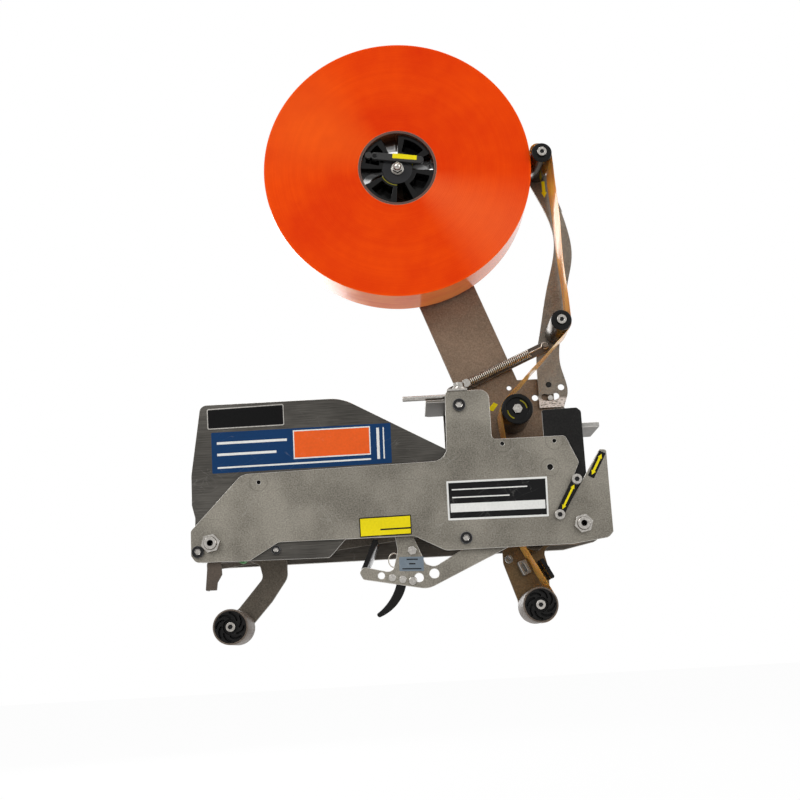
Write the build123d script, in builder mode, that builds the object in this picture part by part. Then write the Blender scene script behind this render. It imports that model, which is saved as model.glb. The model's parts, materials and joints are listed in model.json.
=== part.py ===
"""Tape applicator: a packaging-line tape head with its loaded tape roll, as separate pieces.

X runs to the right of the front plate, Y runs from the front plate to the rear plate, Z is up.
The origin lies midway between the two mounting shafts, on the plane of their front ends.
"""
import os
from math import acos, atan2, cos, degrees, hypot, radians, sin

from build123d import *

# Mounting shafts and side plates
pivot_span = 358.0
pivot_x = pivot_span / 2
shaft_r = 6.0
shaft_stand_off = 8.0
shaft_bore_r = 2.5
nut_flats = 16.2
nut_h = 5.5
plate_t = 3.0
cover_t = 2.5
inner_width = 74.0

# Front plate outline
tower_left = 54.0
tower_right = 97.0
tower_top = 137.0
deck_z = 67.5
shoulder_z = 87.0
shoulder_x = pivot_x - 10.5
keel_z = -18.5
plate_left = -pivot_x - 19.5
plate_right = pivot_x + 28.5
slot_lean = 29.75
slot_corner_x = pivot_x - 26.2
slot_corner_z = 10.2
slot_foot_w = 7.6

# Cover plate and rear plate
cover_top = 136.5
cover_left = plate_left + 1.0
cover_inner_corner = 54.0
rear_top = 133.0
rear_right = pivot_x + 5.0

# Tape, its core and the drum
tape_w = 48.0
tape_mid_y = 50.0
roll_r = 139.0
core_id = 76.5
core_wall = 2.75
roll_x = 20.0
roll_z = 381.5
film_t = 0.3
film_gap = 0.35
drum_front_inset = 4.3
drum_lugs = 4
drum_lug_span = 62.0
drum_boss_r = 16.0
drum_pocket = 20.0
spindle_r = 6.0
bracket_w = 63.0
bracket_t = 3.0
bracket_lean = 20.0
foot_left = pivot_x - 79.0
foot_right = pivot_x - 8.0
foot_bottom = 72.0
foot_top = 161.0
lever_t = 4.0
lever_w = 7.6
lever_len = 47.6

# Rollers
run_gap = 0.05
side_gap = 0.5
roller_front_y = 20.0
apply_r = 17.0
tyre_t = 1.9
apply_x = pivot_x - 45.0
apply_z = -74.0
buff_x = -pivot_x + 14.7
buff_z = -79.3
roller_axle_r = 4.0
guide_r = 10.5
guide_axle_r = 3.0
nip_gap = 0.9
nip_rise = 2.3
tension_r = 15.5
tension_x = pivot_x - 53.5
tension_z = 118.3
wrap_r = 10.0
wrap_x = pivot_x - 46.0
wrap_z = -12.0
wrap_front_y = 24.0
spoke_count = 8

# Arms, link and knife
arm_t = 3.0
arm_back_gap = 5.0
sleeve_r = 9.5
boss_r = 14.0
apply_crank = 24.0
apply_crank_angle = 113.0
buff_crank = 18.1
buff_crank_angle = -121.0
crank_pin_r = 3.0
link_t = 2.5
link_w = 9.0
link_slack = 5.4
knife_pivot_x = pivot_x - 69.0
knife_pivot_z = -3.0
knife_pin_r = 4.0
knife_front_gap = 0.7
unwind_x = pivot_x - 13.3
unwind_z = 153.2
guide_2_x = unwind_x + 10.6
guide_2_z = unwind_z + 53.8
unwind_pin_r = 3.0
unwind_stop_orbit = 14.0
bar_pin_x = unwind_x - 1.6
bar_pin_z = unwind_z + 40.2
bar_pin_r = 2.5
bar_t = 2.4
bar_w = 11.0
bar_travel = 14.0
post_x = unwind_x - 86.5
post_z = unwind_z + 3.5
post_r = 2.5
spring_tail = 15.0
spring_r = 4.3
spring_y = 69.0
wire_r = 0.6

# Places that follow from the sizes above
front_y = shaft_stand_off
inner_y = front_y + plate_t
cover_y = inner_y + cover_t
rear_y = inner_y + inner_width
back_y = rear_y + plate_t
shaft_back_y = back_y + shaft_stand_off
arm_back_y = rear_y - arm_back_gap
arm_y = arm_back_y - arm_t
link_y = arm_back_y + 1.0
foot_y = rear_y - bracket_t
roller_back_y = arm_y - side_gap
tape_y = tape_mid_y - tape_w / 2
tape_back_y = tape_mid_y + tape_w / 2
core_r = core_id / 2
guide_reach = roll_r + guide_r + nip_gap
guide_1_x = roll_x + guide_reach * cos(radians(nip_rise))
guide_1_z = roll_z + guide_reach * sin(radians(nip_rise))
knife_y = cover_y + knife_front_gap
knife_back_y = knife_y + arm_t
apply_crank_x = pivot_x + apply_crank * cos(radians(apply_crank_angle))
apply_crank_z = apply_crank * sin(radians(apply_crank_angle))
buff_crank_x = -pivot_x + buff_crank * cos(radians(buff_crank_angle))
buff_crank_z = buff_crank * sin(radians(buff_crank_angle))

os.makedirs("parts", exist_ok=True)


def facing(y):
    """Sketch plane at depth y, X to the right and Z up; extrusions come towards the front."""
    return Plane.XZ.offset(-y)


def ahead(x, z, reach, angle):
    """The point a distance away from (x, z), at an angle measured from +X towards +Z."""
    return (x + reach * cos(radians(angle)), z + reach * sin(radians(angle)))


def disc(x, z, radius, y0, y1, mode=Mode.ADD):
    """Round bar or round hole from depth y0 to depth y1."""
    with BuildSketch(facing(y1)) as section:
        with Locations((x, z)):
            Circle(radius)
    extrude(section.sketch, amount=y1 - y0, mode=mode)


def hexagon(x, z, flats, y0, y1, turn=0.0):
    """Hexagonal bar from depth y0 to depth y1."""
    with BuildSketch(facing(y1)) as section:
        with Locations((x, z)):
            RegularPolygon(flats / 2, 6, major_radius=False, rotation=turn)
    extrude(section.sketch, amount=y1 - y0)


def slab(corners, y0, y1, mode=Mode.ADD):
    """Flat piece with the outline of (x, z, corner radius) rows, from depth y0 to depth y1."""
    with BuildSketch(facing(y1)) as section:
        Polygon([(x, z) for x, z, r in corners], align=None)
        for x, z, r in corners:
            if r > 0:
                fillet(section.vertices().sort_by_distance((x, z))[0], r)
    extrude(section.sketch, amount=y1 - y0, mode=mode)


def strap(start, end, width, y0, y1, mode=Mode.ADD):
    """Flat bar with round ends whose end radii are centred on start and end."""
    run = hypot(end[0] - start[0], end[1] - start[1])
    with BuildSketch(facing(y1)) as section:
        with Locations(((start[0] + end[0]) / 2, (start[1] + end[1]) / 2)):
            SlotCenterToCenter(run, width, rotation=degrees(atan2(end[1] - start[1], end[0] - start[0])))
    extrude(section.sketch, amount=y1 - y0, mode=mode)


def box(x0, x1, y0, y1, z0, z1, mode=Mode.ADD):
    """Square-edged block between two corners."""
    with BuildSketch(Plane.XY.offset(z0)) as section:
        with Locations(((x0 + x1) / 2, (y0 + y1) / 2)):
            Rectangle(x1 - x0, y1 - y0)
    extrude(section.sketch, amount=z1 - z0, mode=mode)


def ring_sector(centre, inner_r, outer_r, start, span):
    """Sector of a ring in the current sketch, from a start angle over a span in degrees."""
    with BuildLine() as rim:
        inner = CenterArc(centre, inner_r, start, span)
        outer = CenterArc(centre, outer_r, start, span)
        Line(inner @ 0, outer @ 0)
        Line(inner @ 1, outer @ 1)
    make_face(rim.edges())


def socket_screw(x, z, head_r, y_face, head_h, shank_r=2.0, shank=8.0):
    """Cap screw whose head stands in front of the face at y_face, with a hexagonal socket."""
    disc(x, z, head_r, y_face - head_h, y_face)
    disc(x, z, shank_r, y_face, y_face + shank)
    with BuildSketch(facing(y_face - head_h + head_h * 0.55)) as key:
        with Locations((x, z)):
            RegularPolygon(head_r * 0.42, 6, major_radius=False)
    extrude(key.sketch, amount=head_h * 0.55, mode=Mode.SUBTRACT)


# Side plates
slot_up = 90.0 - slot_lean
slot_corner = (slot_corner_x, slot_corner_z)
slot_foot = ahead(slot_corner_x, slot_corner_z, slot_foot_w, slot_up - 117.5)
front_outline = [
    (tower_left, tower_top, 4.0),
    (tower_right, tower_top, 9.0),
    (tower_right, shoulder_z, 4.0),
    (shoulder_x, shoulder_z, 4.0),
    (shoulder_x + 11.5, shoulder_z - 27.0, 5.0),
    (*ahead(slot_corner_x, slot_corner_z, 43.0, slot_up), 4.0),
    (*slot_corner, 3.0),
    (*slot_foot, 3.0),
    (plate_right - 6.7, 71.6, 2.0),
    (plate_right, 71.0, 2.5),
    (plate_right, -9.0, 0.0),
    (plate_right - 4.5, -14.0, 6.0),
    (shoulder_x, keel_z, 4.0),
    (tower_left - 8.0, keel_z, 14.0),
    (tower_left - 37.5, -3.0, 10.0),
    (-pivot_x + 65.0, -2.0, 8.0),
    (-pivot_x + 36.0, keel_z, 8.0),
    (plate_left + 4.5, keel_z + 1.0, 6.0),
    (plate_left, -11.0, 4.0),
    (plate_left, 13.0, 4.0),
    (-pivot_x + 31.0, deck_z - 2.0, 14.0),
    (tower_left - 2.0, deck_z + 1.0, 14.0),
]
plate_holes = [
    (-pivot_x + 47.2, 56.9, 2.0),
    (pivot_x - 72.2, 82.1, 2.0),
    (pivot_x - 21.3, 82.2, 2.0),
    (pivot_x - 27.4, 56.6, 3.0),
]
screw_places = [(tower_left + 13.1, tower_top - 14.5), (tower_left + 11.9, keel_z + 10.8), (-pivot_x - 12.8, -7.5)]
screw_shank_r = 2.0

with BuildPart() as front_plate:
    slab(front_outline, front_y, inner_y)
    for hole_x, hole_z, hole_r in plate_holes:
        disc(hole_x, hole_z, hole_r, front_y, inner_y, Mode.SUBTRACT)
    for hole_x, hole_z in screw_places:
        disc(hole_x, hole_z, screw_shank_r, front_y, inner_y, Mode.SUBTRACT)
    for side in (-1, 1):
        disc(side * pivot_x, 0, shaft_r, front_y, inner_y, Mode.SUBTRACT)
    disc(knife_pivot_x, knife_pivot_z, knife_pin_r, inner_y - 1.5, inner_y, Mode.SUBTRACT)
front_plate.part.label = "front_plate"
export_step(front_plate.part, "parts/front_plate.step")

cover_slope = 0.565
cover_outline = [
    (cover_left, deck_z, 25.0),
    (cover_left + 10.0, cover_top, 7.0),
    (-48.0, cover_top, 45.0),
    (tower_left - 2.0, cover_top - (tower_left + 46.0) * cover_slope, 2.0),
    (tower_left - 2.0, cover_inner_corner, 2.0),
    (-47.5, 0.0, 2.0),
    (-66.0, keel_z - 0.7, 3.0),
    (cover_left + 7.5, keel_z + 0.8, 3.0),
    (cover_left + 2.5, -2.0, 2.0),
    (cover_left + 3.0, 26.0, 6.0),
    (cover_left, 38.0, 4.0),
]
cover_screw = (-pivot_x + 61.8, -9.2)
with BuildPart() as cover_plate:
    slab(cover_outline, inner_y, cover_y)
    disc(-pivot_x, 0, shaft_r, inner_y, cover_y, Mode.SUBTRACT)
    disc(screw_places[2][0], screw_places[2][1], screw_shank_r, inner_y, cover_y, Mode.SUBTRACT)
    disc(plate_holes[0][0], plate_holes[0][1], plate_holes[0][2], inner_y, cover_y, Mode.SUBTRACT)
    disc(cover_screw[0], cover_screw[1], screw_shank_r, inner_y, cover_y, Mode.SUBTRACT)
cover_plate.part.label = "cover_plate"
export_step(cover_plate.part, "parts/cover_plate.step")

rear_outline = [
    (cover_left, deck_z, 25.0),
    (cover_left + 10.0, cover_top - 8.0, 10.0),
    (-48.0, cover_top - 8.0, 45.0),
    (tower_left - 14.0, 82.0, 12.0),
    (tower_left, 84.0, 4.0),
    (tower_left, rear_top, 6.0),
    (rear_right, rear_top, 10.0),
    (rear_right, 48.0, 6.0),
    (plate_right - 2.0, 20.0, 8.0),
    (plate_right - 2.0, -9.0, 5.0),
    (plate_right - 7.5, -12.0, 3.0),
    (shoulder_x, keel_z, 4.0),
    (cover_left + 7.5, keel_z, 6.0),
    (cover_left + 2.5, -12.0, 3.0),
]
with BuildPart() as rear_plate:
    slab(rear_outline, rear_y, back_y)
    for side in (-1, 1):
        disc(side * pivot_x, 0, shaft_r, rear_y, back_y, Mode.SUBTRACT)
    disc(tension_x, tension_z, roller_axle_r, rear_y, back_y, Mode.SUBTRACT)
rear_plate.part.label = "rear_plate"
export_step(rear_plate.part, "parts/rear_plate.step")

# Rods and bolts that tie the two sides together
rod_places = [
    (plate_holes[0][0], plate_holes[0][1], 4.0, cover_y, rear_y),
    (plate_holes[1][0], plate_holes[1][1], 4.0, inner_y, foot_y),
    (plate_holes[2][0], plate_holes[2][1], 4.0, cover_y, foot_y),
    (-pivot_x + 14.0, 104.0, 5.0, cover_y, rear_y),
    (-52.0, 108.0, 5.0, cover_y, rear_y),
]
with BuildPart() as tie_rods:
    for rod_x, rod_z, rod_r, rod_front, rod_back in rod_places:
        disc(rod_x, rod_z, rod_r, rod_front, rod_back)
tie_rods.part.label = "tie_rods"
export_step(tie_rods.part, "parts/tie_rods.step")

with BuildPart() as pivot_shafts:
    for side in (-1, 1):
        disc(side * pivot_x, 0, shaft_r, 0, shaft_back_y)
        disc(side * pivot_x, 0, shaft_bore_r, 0, shaft_back_y, Mode.SUBTRACT)
pivot_shafts.part.label = "pivot_shafts"
export_step(pivot_shafts.part, "parts/pivot_shafts.step")

with BuildPart() as pivot_nuts:
    for side in (-1, 1):
        hexagon(side * pivot_x, 0, nut_flats, front_y - nut_h, front_y, turn=12.0)
        hexagon(side * pivot_x, 0, nut_flats, back_y, back_y + nut_h)
        disc(side * pivot_x, 0, shaft_r, front_y - nut_h, front_y, Mode.SUBTRACT)
        disc(side * pivot_x, 0, shaft_r, back_y, back_y + nut_h, Mode.SUBTRACT)
    chamfer(pivot_nuts.edges().filter_by(GeomType.CIRCLE).group_by(Axis.Y)[0], 0.4)
pivot_nuts.part.label = "pivot_nuts"
export_step(pivot_nuts.part, "parts/pivot_nuts.step")

with BuildPart() as plate_screws:
    socket_screw(screw_places[0][0], screw_places[0][1], 6.2, front_y, 3.6, screw_shank_r, 5.0)
    socket_screw(screw_places[1][0], screw_places[1][1], 5.8, front_y, 4.0, screw_shank_r, 5.5)
    socket_screw(screw_places[2][0], screw_places[2][1], 5.8, front_y, 2.6, screw_shank_r, 8.0)
    socket_screw(cover_screw[0], cover_screw[1], 4.4, inner_y, 2.6, screw_shank_r, 4.0)
    disc(screw_places[1][0], screw_places[1][1], 5.5, inner_y, inner_y + 2.6)
    disc(screw_places[2][0], screw_places[2][1], 5.5, cover_y, cover_y + 2.6)
plate_screws.part.label = "plate_screws"
export_step(plate_screws.part, "parts/plate_screws.step")

with BuildPart() as rear_screws:
    for rod_x, rod_z, rod_r, rod_front, rod_back in rod_places:
        disc(rod_x, rod_z, 5.2, back_y, back_y + 2.8)
    for bolt_in, bolt_z in ((12.0, 124.0), (46.0, 92.0), (60.0, 122.0), (12.0, 94.0)):
        disc(foot_left + bolt_in, bolt_z, 4.5, back_y, back_y + 2.6)
    chamfer(rear_screws.faces().sort_by(Axis.Y)[-5:].edges(), 0.6)
rear_screws.part.label = "rear_screws"
export_step(rear_screws.part, "parts/rear_screws.step")

# Top of the frame: tie plate, clip, hanger rod and bolt
tie_z = tower_top - 10.0
tie_t = 2.5
tie_right = tower_left + 22.0
with BuildPart() as top_tie_plate:
    box(tower_left - 19.4, tie_right, inner_y, rear_y, tie_z, tie_z + tie_t)
    box(tower_left + 3.0, tie_right, inner_y, inner_y + tie_t, tie_z - 13.0, tie_z)
    box(tower_left + 3.0, tie_right, rear_y - tie_t, rear_y, tie_z - 13.0, tie_z)
    disc(screw_places[0][0], screw_places[0][1], screw_shank_r, inner_y, inner_y + tie_t, Mode.SUBTRACT)
    chamfer(top_tie_plate.edges().filter_by(Axis.Z).sort_by(Axis.X)[0:1], 4.0)
top_tie_plate.part.label = "top_tie_plate"
export_step(top_tie_plate.part, "parts/top_tie_plate.step")

clip_x = tower_left + 2.0
clip_t = 2.2
bolt_y = 15.5
rod_y = 18.5
rod_z = tower_top - 3.4
hanger_r = 2.6
hanger_tip = tower_left - 42.0
bolt_x = tower_left + 14.5
with BuildPart() as top_clip:
    box(clip_x, tie_right, front_y - 1.5, 24.0, tower_top, tower_top + clip_t)
    box(clip_x + 2.0, tie_right, inner_y, 24.0, tie_z + tie_t, tower_top)
    with BuildSketch(Plane.YZ.offset(clip_x + 2.0)) as rod_bore:
        with Locations((rod_y, rod_z)):
            Circle(hanger_r)
    extrude(rod_bore.sketch, amount=6.0, mode=Mode.SUBTRACT)
    with BuildSketch(Plane.XY.offset(tower_top - 5.0)) as bolt_bore:
        with Locations((bolt_x, bolt_y)):
            Circle(2.0)
    extrude(bolt_bore.sketch, amount=5.0 + clip_t, mode=Mode.SUBTRACT)
top_clip.part.label = "top_clip"
export_step(top_clip.part, "parts/top_clip.step")

with BuildPart() as hanger_rod:
    with BuildSketch(Plane.YZ.offset(hanger_tip)) as rod_section:
        with Locations((rod_y, rod_z)):
            Circle(hanger_r)
    extrude(rod_section.sketch, amount=clip_x + 8.0 - hanger_tip)
    chamfer(hanger_rod.edges().filter_by(GeomType.CIRCLE).sort_by(Axis.X)[0], 0.5)
hanger_rod.part.label = "hanger_rod"
export_step(hanger_rod.part, "parts/hanger_rod.step")

with BuildPart() as clip_bolt:
    with BuildSketch(Plane.XY.offset(tower_top - 5.0)) as bolt_shank:
        with Locations((bolt_x, bolt_y)):
            Circle(2.0)
    extrude(bolt_shank.sketch, amount=5.0 + clip_t)
    washer_z = tower_top + clip_t
    for washer_r, washer_h in ((8.0, 1.4), (6.2, 1.4)):
        with BuildSketch(Plane.XY.offset(washer_z)) as washer:
            with Locations((bolt_x, bolt_y)):
                Circle(washer_r)
        extrude(washer.sketch, amount=washer_h)
        washer_z += washer_h
    with BuildSketch(Plane.XY.offset(washer_z)) as bolt_head:
        with Locations((bolt_x, bolt_y)):
            RegularPolygon(4.9, 6, major_radius=False, rotation=10)
    extrude(bolt_head.sketch, amount=4.4)
clip_bolt.part.label = "clip_bolt"
export_step(clip_bolt.part, "parts/clip_bolt.step")

# Tape guard and its side ledge
guard_top = 114.7
guard_right = pivot_x + 7.6
with BuildPart() as tape_guard:
    slab(
        [
            (pivot_x - 31.0, guard_top - 0.7, 2.0),
            (guard_right - 4.1, guard_top, 3.0),
            (guard_right, guard_top - 3.7, 4.0),
            (guard_right, guard_top - 66.7, 10.0),
            (pivot_x - 11.0, 14.0, 6.0),
            (pivot_x - 33.0, 4.0, 4.0),
            (pivot_x - 31.0, 60.0, 4.0),
        ],
        inner_y,
        cover_y,
    )
    disc(plate_holes[2][0], plate_holes[2][1], plate_holes[2][2], inner_y, cover_y, Mode.SUBTRACT)
tape_guard.part.label = "tape_guard"
export_step(tape_guard.part, "parts/tape_guard.step")

ledge_z = guard_top - 19.7
ledge_t = 4.6
ledge_left = guard_right - 26.6
with BuildPart() as side_ledge:
    box(ledge_left, guard_right + 17.4, cover_y, rear_y - 12.0, ledge_z, ledge_z + ledge_t)
    box(ledge_left, guard_right - 4.6, cover_y, cover_y + 2.0, ledge_z + ledge_t, ledge_z + 14.0)
    fillet(side_ledge.edges().filter_by(Axis.Z).sort_by(Axis.X)[-2:], 2.0)
side_ledge.part.label = "side_ledge"
export_step(side_ledge.part, "parts/side_ledge.step")

# Drum bracket, spindle and the pins it carries
lean_dx = sin(radians(bracket_lean))
lean_dz = -cos(radians(bracket_lean))
strap_run = (roll_z - foot_bottom - 6.0) / -lean_dz
strap_foot = (roll_x + strap_run * lean_dx, roll_z + strap_run * lean_dz)
with BuildPart() as drum_bracket:
    with BuildSketch(facing(rear_y)) as bracket_outline:
        with Locations((roll_x, roll_z)):
            Circle(bracket_w / 2)
        with Locations(((roll_x + strap_foot[0]) / 2, (roll_z + strap_foot[1]) / 2)):
            Rectangle(bracket_w, strap_run, rotation=bracket_lean)
        with BuildLine():
            FilletPolyline(
                [(foot_left, foot_bottom), (foot_right, foot_bottom), (foot_right, foot_top), (foot_left, foot_top)],
                radius=[6.0, 6.0, 5.0, 0.0],
                close=True,
            )
        make_face()
    extrude(bracket_outline.sketch, amount=bracket_t)
    disc(roll_x, roll_z, spindle_r, foot_y, rear_y, Mode.SUBTRACT)
    disc(unwind_x - 41.0, unwind_z - 0.3, 2.4, foot_y, rear_y, Mode.SUBTRACT)
    disc(unwind_x - 14.6, unwind_z - 12.2, 3.2, foot_y, rear_y, Mode.SUBTRACT)
    disc(tension_x, tension_z, roller_axle_r, foot_y, rear_y, Mode.SUBTRACT)
drum_bracket.part.label = "drum_bracket"
export_step(drum_bracket.part, "parts/drum_bracket.step")

drum_y = tape_y + drum_front_inset
stud_r = 3.0
collar_r = 11.0
with BuildPart() as drum_spindle:
    disc(roll_x, roll_z, spindle_r, drum_y - 0.3, rear_y)
    disc(roll_x, roll_z, stud_r, drum_y - 8.0, drum_y - 0.3)
    disc(roll_x, roll_z, collar_r, tape_back_y + side_gap, foot_y)
    hexagon(roll_x, roll_z, 18.0, rear_y, rear_y + 6.0)
drum_spindle.part.label = "drum_spindle"
export_step(drum_spindle.part, "parts/drum_spindle.step")

acorn_h = 5.0
with BuildPart() as spindle_nut:
    disc(roll_x, roll_z, 6.6, drum_y - 1.5, drum_y - 0.3)
    hexagon(roll_x, roll_z, 10.0, drum_y - 1.5 - acorn_h, drum_y - 1.5, turn=30.0)
    with Locations((roll_x, drum_y - 1.5 - acorn_h, roll_z)):
        Sphere(4.4)
    disc(roll_x, roll_z, stud_r, drum_y - 8.0, drum_y - 0.3, Mode.SUBTRACT)
spindle_nut.part.label = "spindle_nut"
export_step(spindle_nut.part, "parts/spindle_nut.step")

stop_place = ahead(unwind_x, unwind_z, unwind_stop_orbit, -86.0)
with BuildPart() as bracket_pins:
    disc(unwind_x, unwind_z, unwind_pin_r, arm_y - 0.5, foot_y)
    disc(unwind_x, unwind_z, 5.5, arm_back_y + 0.3, foot_y)
    disc(stop_place[0], stop_place[1], 3.0, arm_y + 0.5, foot_y)
    disc(post_x, post_z, post_r, spring_y - 4.0, foot_y)
    disc(post_x, post_z, post_r + 2.0, spring_y - 5.5, spring_y - 4.0)
    disc(post_x, post_z, 6.0, arm_y + 1.0, foot_y)
bracket_pins.part.label = "bracket_pins"
export_step(bracket_pins.part, "parts/bracket_pins.step")

# Hooks, bumper and pins on the front plate
with BuildPart() as box_hook:
    slab(
        [
            (-pivot_x - 4.0, -9.0, 1.0),
            (-pivot_x - 7.0, -44.0, 1.0),
            (-pivot_x + 3.6, -44.3, 1.0),
            (-pivot_x + 4.5, -37.0, 2.0),
            (-pivot_x + 9.0, -29.5, 2.0),
            (-pivot_x + 8.0, -11.0, 1.0),
        ],
        cover_y,
        cover_y + 2.5,
    )
    slab(
        [
            (-pivot_x - 7.0, -44.0, 0.0),
            (-pivot_x - 5.0, -44.0, 0.0),
            (-pivot_x - 3.0, -24.0, 0.0),
            (-pivot_x - 5.0, -24.0, 0.0),
        ],
        cover_y + 2.5,
        cover_y + 14.0,
    )
box_hook.part.label = "box_hook"
export_step(box_hook.part, "parts/box_hook.step")

with BuildPart() as arm_bumper:
    disc(-pivot_x + 29.0, -15.5, 4.5, cover_y, cover_y + 9.0)
    chamfer(arm_bumper.edges().sort_by(Axis.Y)[-1], 1.0)
arm_bumper.part.label = "arm_bumper"
export_step(arm_bumper.part, "parts/arm_bumper.step")

knife_post = (knife_pivot_x + 21.0, 60.0)
with BuildPart() as knife_pins:
    disc(knife_pivot_x, knife_pivot_z, knife_pin_r, inner_y - 1.5, knife_back_y + 0.4)
    disc(knife_pivot_x, knife_pivot_z, 6.0, knife_back_y + 0.4, knife_back_y + 1.9)
    disc(knife_pivot_x, knife_pivot_z, 6.0, inner_y, knife_y - 0.3)
    disc(knife_post[0], knife_post[1], 2.0, inner_y, knife_back_y + 3.6)
knife_pins.part.label = "knife_pins"
export_step(knife_pins.part, "parts/knife_pins.step")

with BuildPart() as tension_shaft:
    disc(tension_x, tension_z, roller_axle_r, roller_front_y - 2.0, back_y + 8.0)
    disc(tension_x, tension_z, 7.0, roller_back_y + side_gap, foot_y)
    hexagon(tension_x, tension_z, 13.0, back_y, back_y + 6.0)
    hexagon(tension_x, tension_z, 8.6, roller_front_y - 1.5, roller_front_y + 2.0)
tension_shaft.part.label = "tension_shaft"
export_step(tension_shaft.part, "parts/tension_shaft.step")


pocket_curl = ThreePointArc(ahead(0, 0, 8.8, 0), ahead(0, 0, 11.2, 19), ahead(0, 0, 13.4, 46))


def spoked_roller(x, z):
    """Moulded roller body: axle bore, round recess and curved pockets in its front face."""
    disc(x, z, apply_r - tyre_t, roller_front_y, roller_back_y)
    disc(x, z, roller_axle_r + run_gap, roller_front_y, roller_back_y, Mode.SUBTRACT)
    disc(x, z, 7.2, roller_front_y, roller_front_y + 4.0, Mode.SUBTRACT)
    with BuildSketch(facing(roller_front_y + 5.0)) as pockets:
        with Locations((x, z)):
            with PolarLocations(0, spoke_count):
                SlotArc(pocket_curl, 1.9)
    extrude(pockets.sketch, amount=5.0, mode=Mode.SUBTRACT)


def tyre(x, z):
    """Rubber sleeve on a roller body, with softened ends."""
    disc(x, z, apply_r, roller_front_y + 0.4, roller_back_y)
    disc(x, z, apply_r - tyre_t, roller_front_y + 0.4, roller_back_y, Mode.SUBTRACT)


def roller_axle(x, z):
    """Axle riveted to its arm, with a socket screw head that keeps the roller on."""
    disc(x, z, roller_axle_r, roller_front_y + 3.5, arm_back_y)
    socket_screw(x, z, 4.6, roller_front_y + 3.5, 3.0, 1.5, 1.0)


# Apply roller, buffing roller and their arms
with BuildPart() as apply_roller_body:
    spoked_roller(apply_x, apply_z)
apply_roller_body.part.label = "apply_roller_body"
export_step(apply_roller_body.part, "parts/apply_roller_body.step")

with BuildPart() as apply_tyre:
    tyre(apply_x, apply_z)
apply_tyre.part.label = "apply_tyre"
export_step(apply_tyre.part, "parts/apply_tyre.step")

with BuildPart() as buff_roller_body:
    spoked_roller(buff_x, buff_z)
buff_roller_body.part.label = "buff_roller_body"
export_step(buff_roller_body.part, "parts/buff_roller_body.step")

with BuildPart() as buff_tyre:
    tyre(buff_x, buff_z)
buff_tyre.part.label = "buff_tyre"
export_step(buff_tyre.part, "parts/buff_tyre.step")

finger_rod = (apply_x + 10.5, apply_z + 35.0)
arm_screw = (apply_x - 22.7, apply_z + 48.6)
with BuildPart() as apply_arm:
    slab(
        [
            (pivot_x + boss_r, boss_r, boss_r - 1.0),
            (pivot_x - 61.0, boss_r, 12.0),
            (pivot_x - 73.7, 2.0, 10.0),
            (pivot_x - 73.7, -29.0, 12.0),
            (apply_x - 16.6, apply_z + 7.0, 6.0),
            (apply_x - 14.0, apply_z - 16.0, 13.0),
            (apply_x + 16.0, apply_z - 16.0, 15.0),
            (apply_x + 16.0, apply_z + 6.0, 6.0),
            (pivot_x - 28.0, -37.0, 6.0),
            (pivot_x - 33.0, -boss_r, 8.0),
            (pivot_x + boss_r, -boss_r, boss_r - 1.0),
        ],
        arm_y,
        arm_back_y,
    )
    strap((pivot_x, 0), (apply_crank_x, apply_crank_z), 15.0, arm_y, arm_back_y)
    disc(pivot_x, 0, sleeve_r, knife_back_y + 0.8, arm_back_y)
    disc(pivot_x, 0, shaft_r + run_gap, 0, rear_y, Mode.SUBTRACT)
    disc(apply_x, apply_z, roller_axle_r, arm_y, arm_back_y, Mode.SUBTRACT)
    disc(wrap_x, wrap_z, guide_axle_r, arm_y, arm_back_y, Mode.SUBTRACT)
    disc(*arm_screw, 1.5, arm_y, arm_y + 2.0, Mode.SUBTRACT)
    disc(apply_crank_x, apply_crank_z, crank_pin_r, arm_back_y, link_y + link_t + 0.6)
apply_arm.part.label = "apply_arm"
export_step(apply_arm.part, "parts/apply_arm.step")

with BuildPart() as buff_arm:
    slab(
        [
            (-pivot_x - boss_r, boss_r, boss_r - 1.0),
            (-pivot_x + 42.0, boss_r, 10.0),
            (-pivot_x + 62.0, -2.0, 8.0),
            (-pivot_x + 65.8, -14.0, 4.0),
            (-pivot_x + 65.8, -32.0, 14.0),
            (-pivot_x + 49.5, -55.0, 10.0),
            (buff_x + 15.5, buff_z + 3.0, 6.0),
            (buff_x + 14.0, buff_z - 15.5, 14.0),
            (buff_x - 15.5, buff_z - 15.5, 14.0),
            (buff_x - 15.5, buff_z + 8.0, 9.0),
            (buff_x + 1.0, -60.0, 6.0),
            (-pivot_x + 41.0, -31.0, 8.0),
            (-pivot_x + 38.0, -18.0, 5.0),
            (-pivot_x + 29.0, -boss_r, 6.0),
            (-pivot_x - boss_r, -boss_r, boss_r - 1.0),
        ],
        arm_y,
        arm_back_y,
    )
    strap((-pivot_x, 0), (buff_crank_x, buff_crank_z), 13.0, arm_y, arm_back_y)
    disc(-pivot_x, 0, sleeve_r, knife_back_y + 0.8, arm_back_y)
    disc(-pivot_x, 0, shaft_r + run_gap, 0, rear_y, Mode.SUBTRACT)
    disc(buff_x, buff_z, roller_axle_r, arm_y, arm_back_y, Mode.SUBTRACT)
    disc(buff_crank_x, buff_crank_z, crank_pin_r, arm_back_y, link_y + link_t + 0.6)
buff_arm.part.label = "buff_arm"
export_step(buff_arm.part, "parts/buff_arm.step")

with BuildPart() as apply_axle:
    roller_axle(apply_x, apply_z)
    disc(wrap_x, wrap_z, guide_axle_r, wrap_front_y - 0.5, arm_back_y)
    disc(wrap_x, wrap_z, 4.2, wrap_front_y - 1.8, wrap_front_y - 0.5)
apply_axle.part.label = "apply_axles"
export_step(apply_axle.part, "parts/apply_axles.step")

with BuildPart() as buff_axle:
    roller_axle(buff_x, buff_z)
buff_axle.part.label = "buff_axle"
export_step(buff_axle.part, "parts/buff_axle.step")

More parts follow.
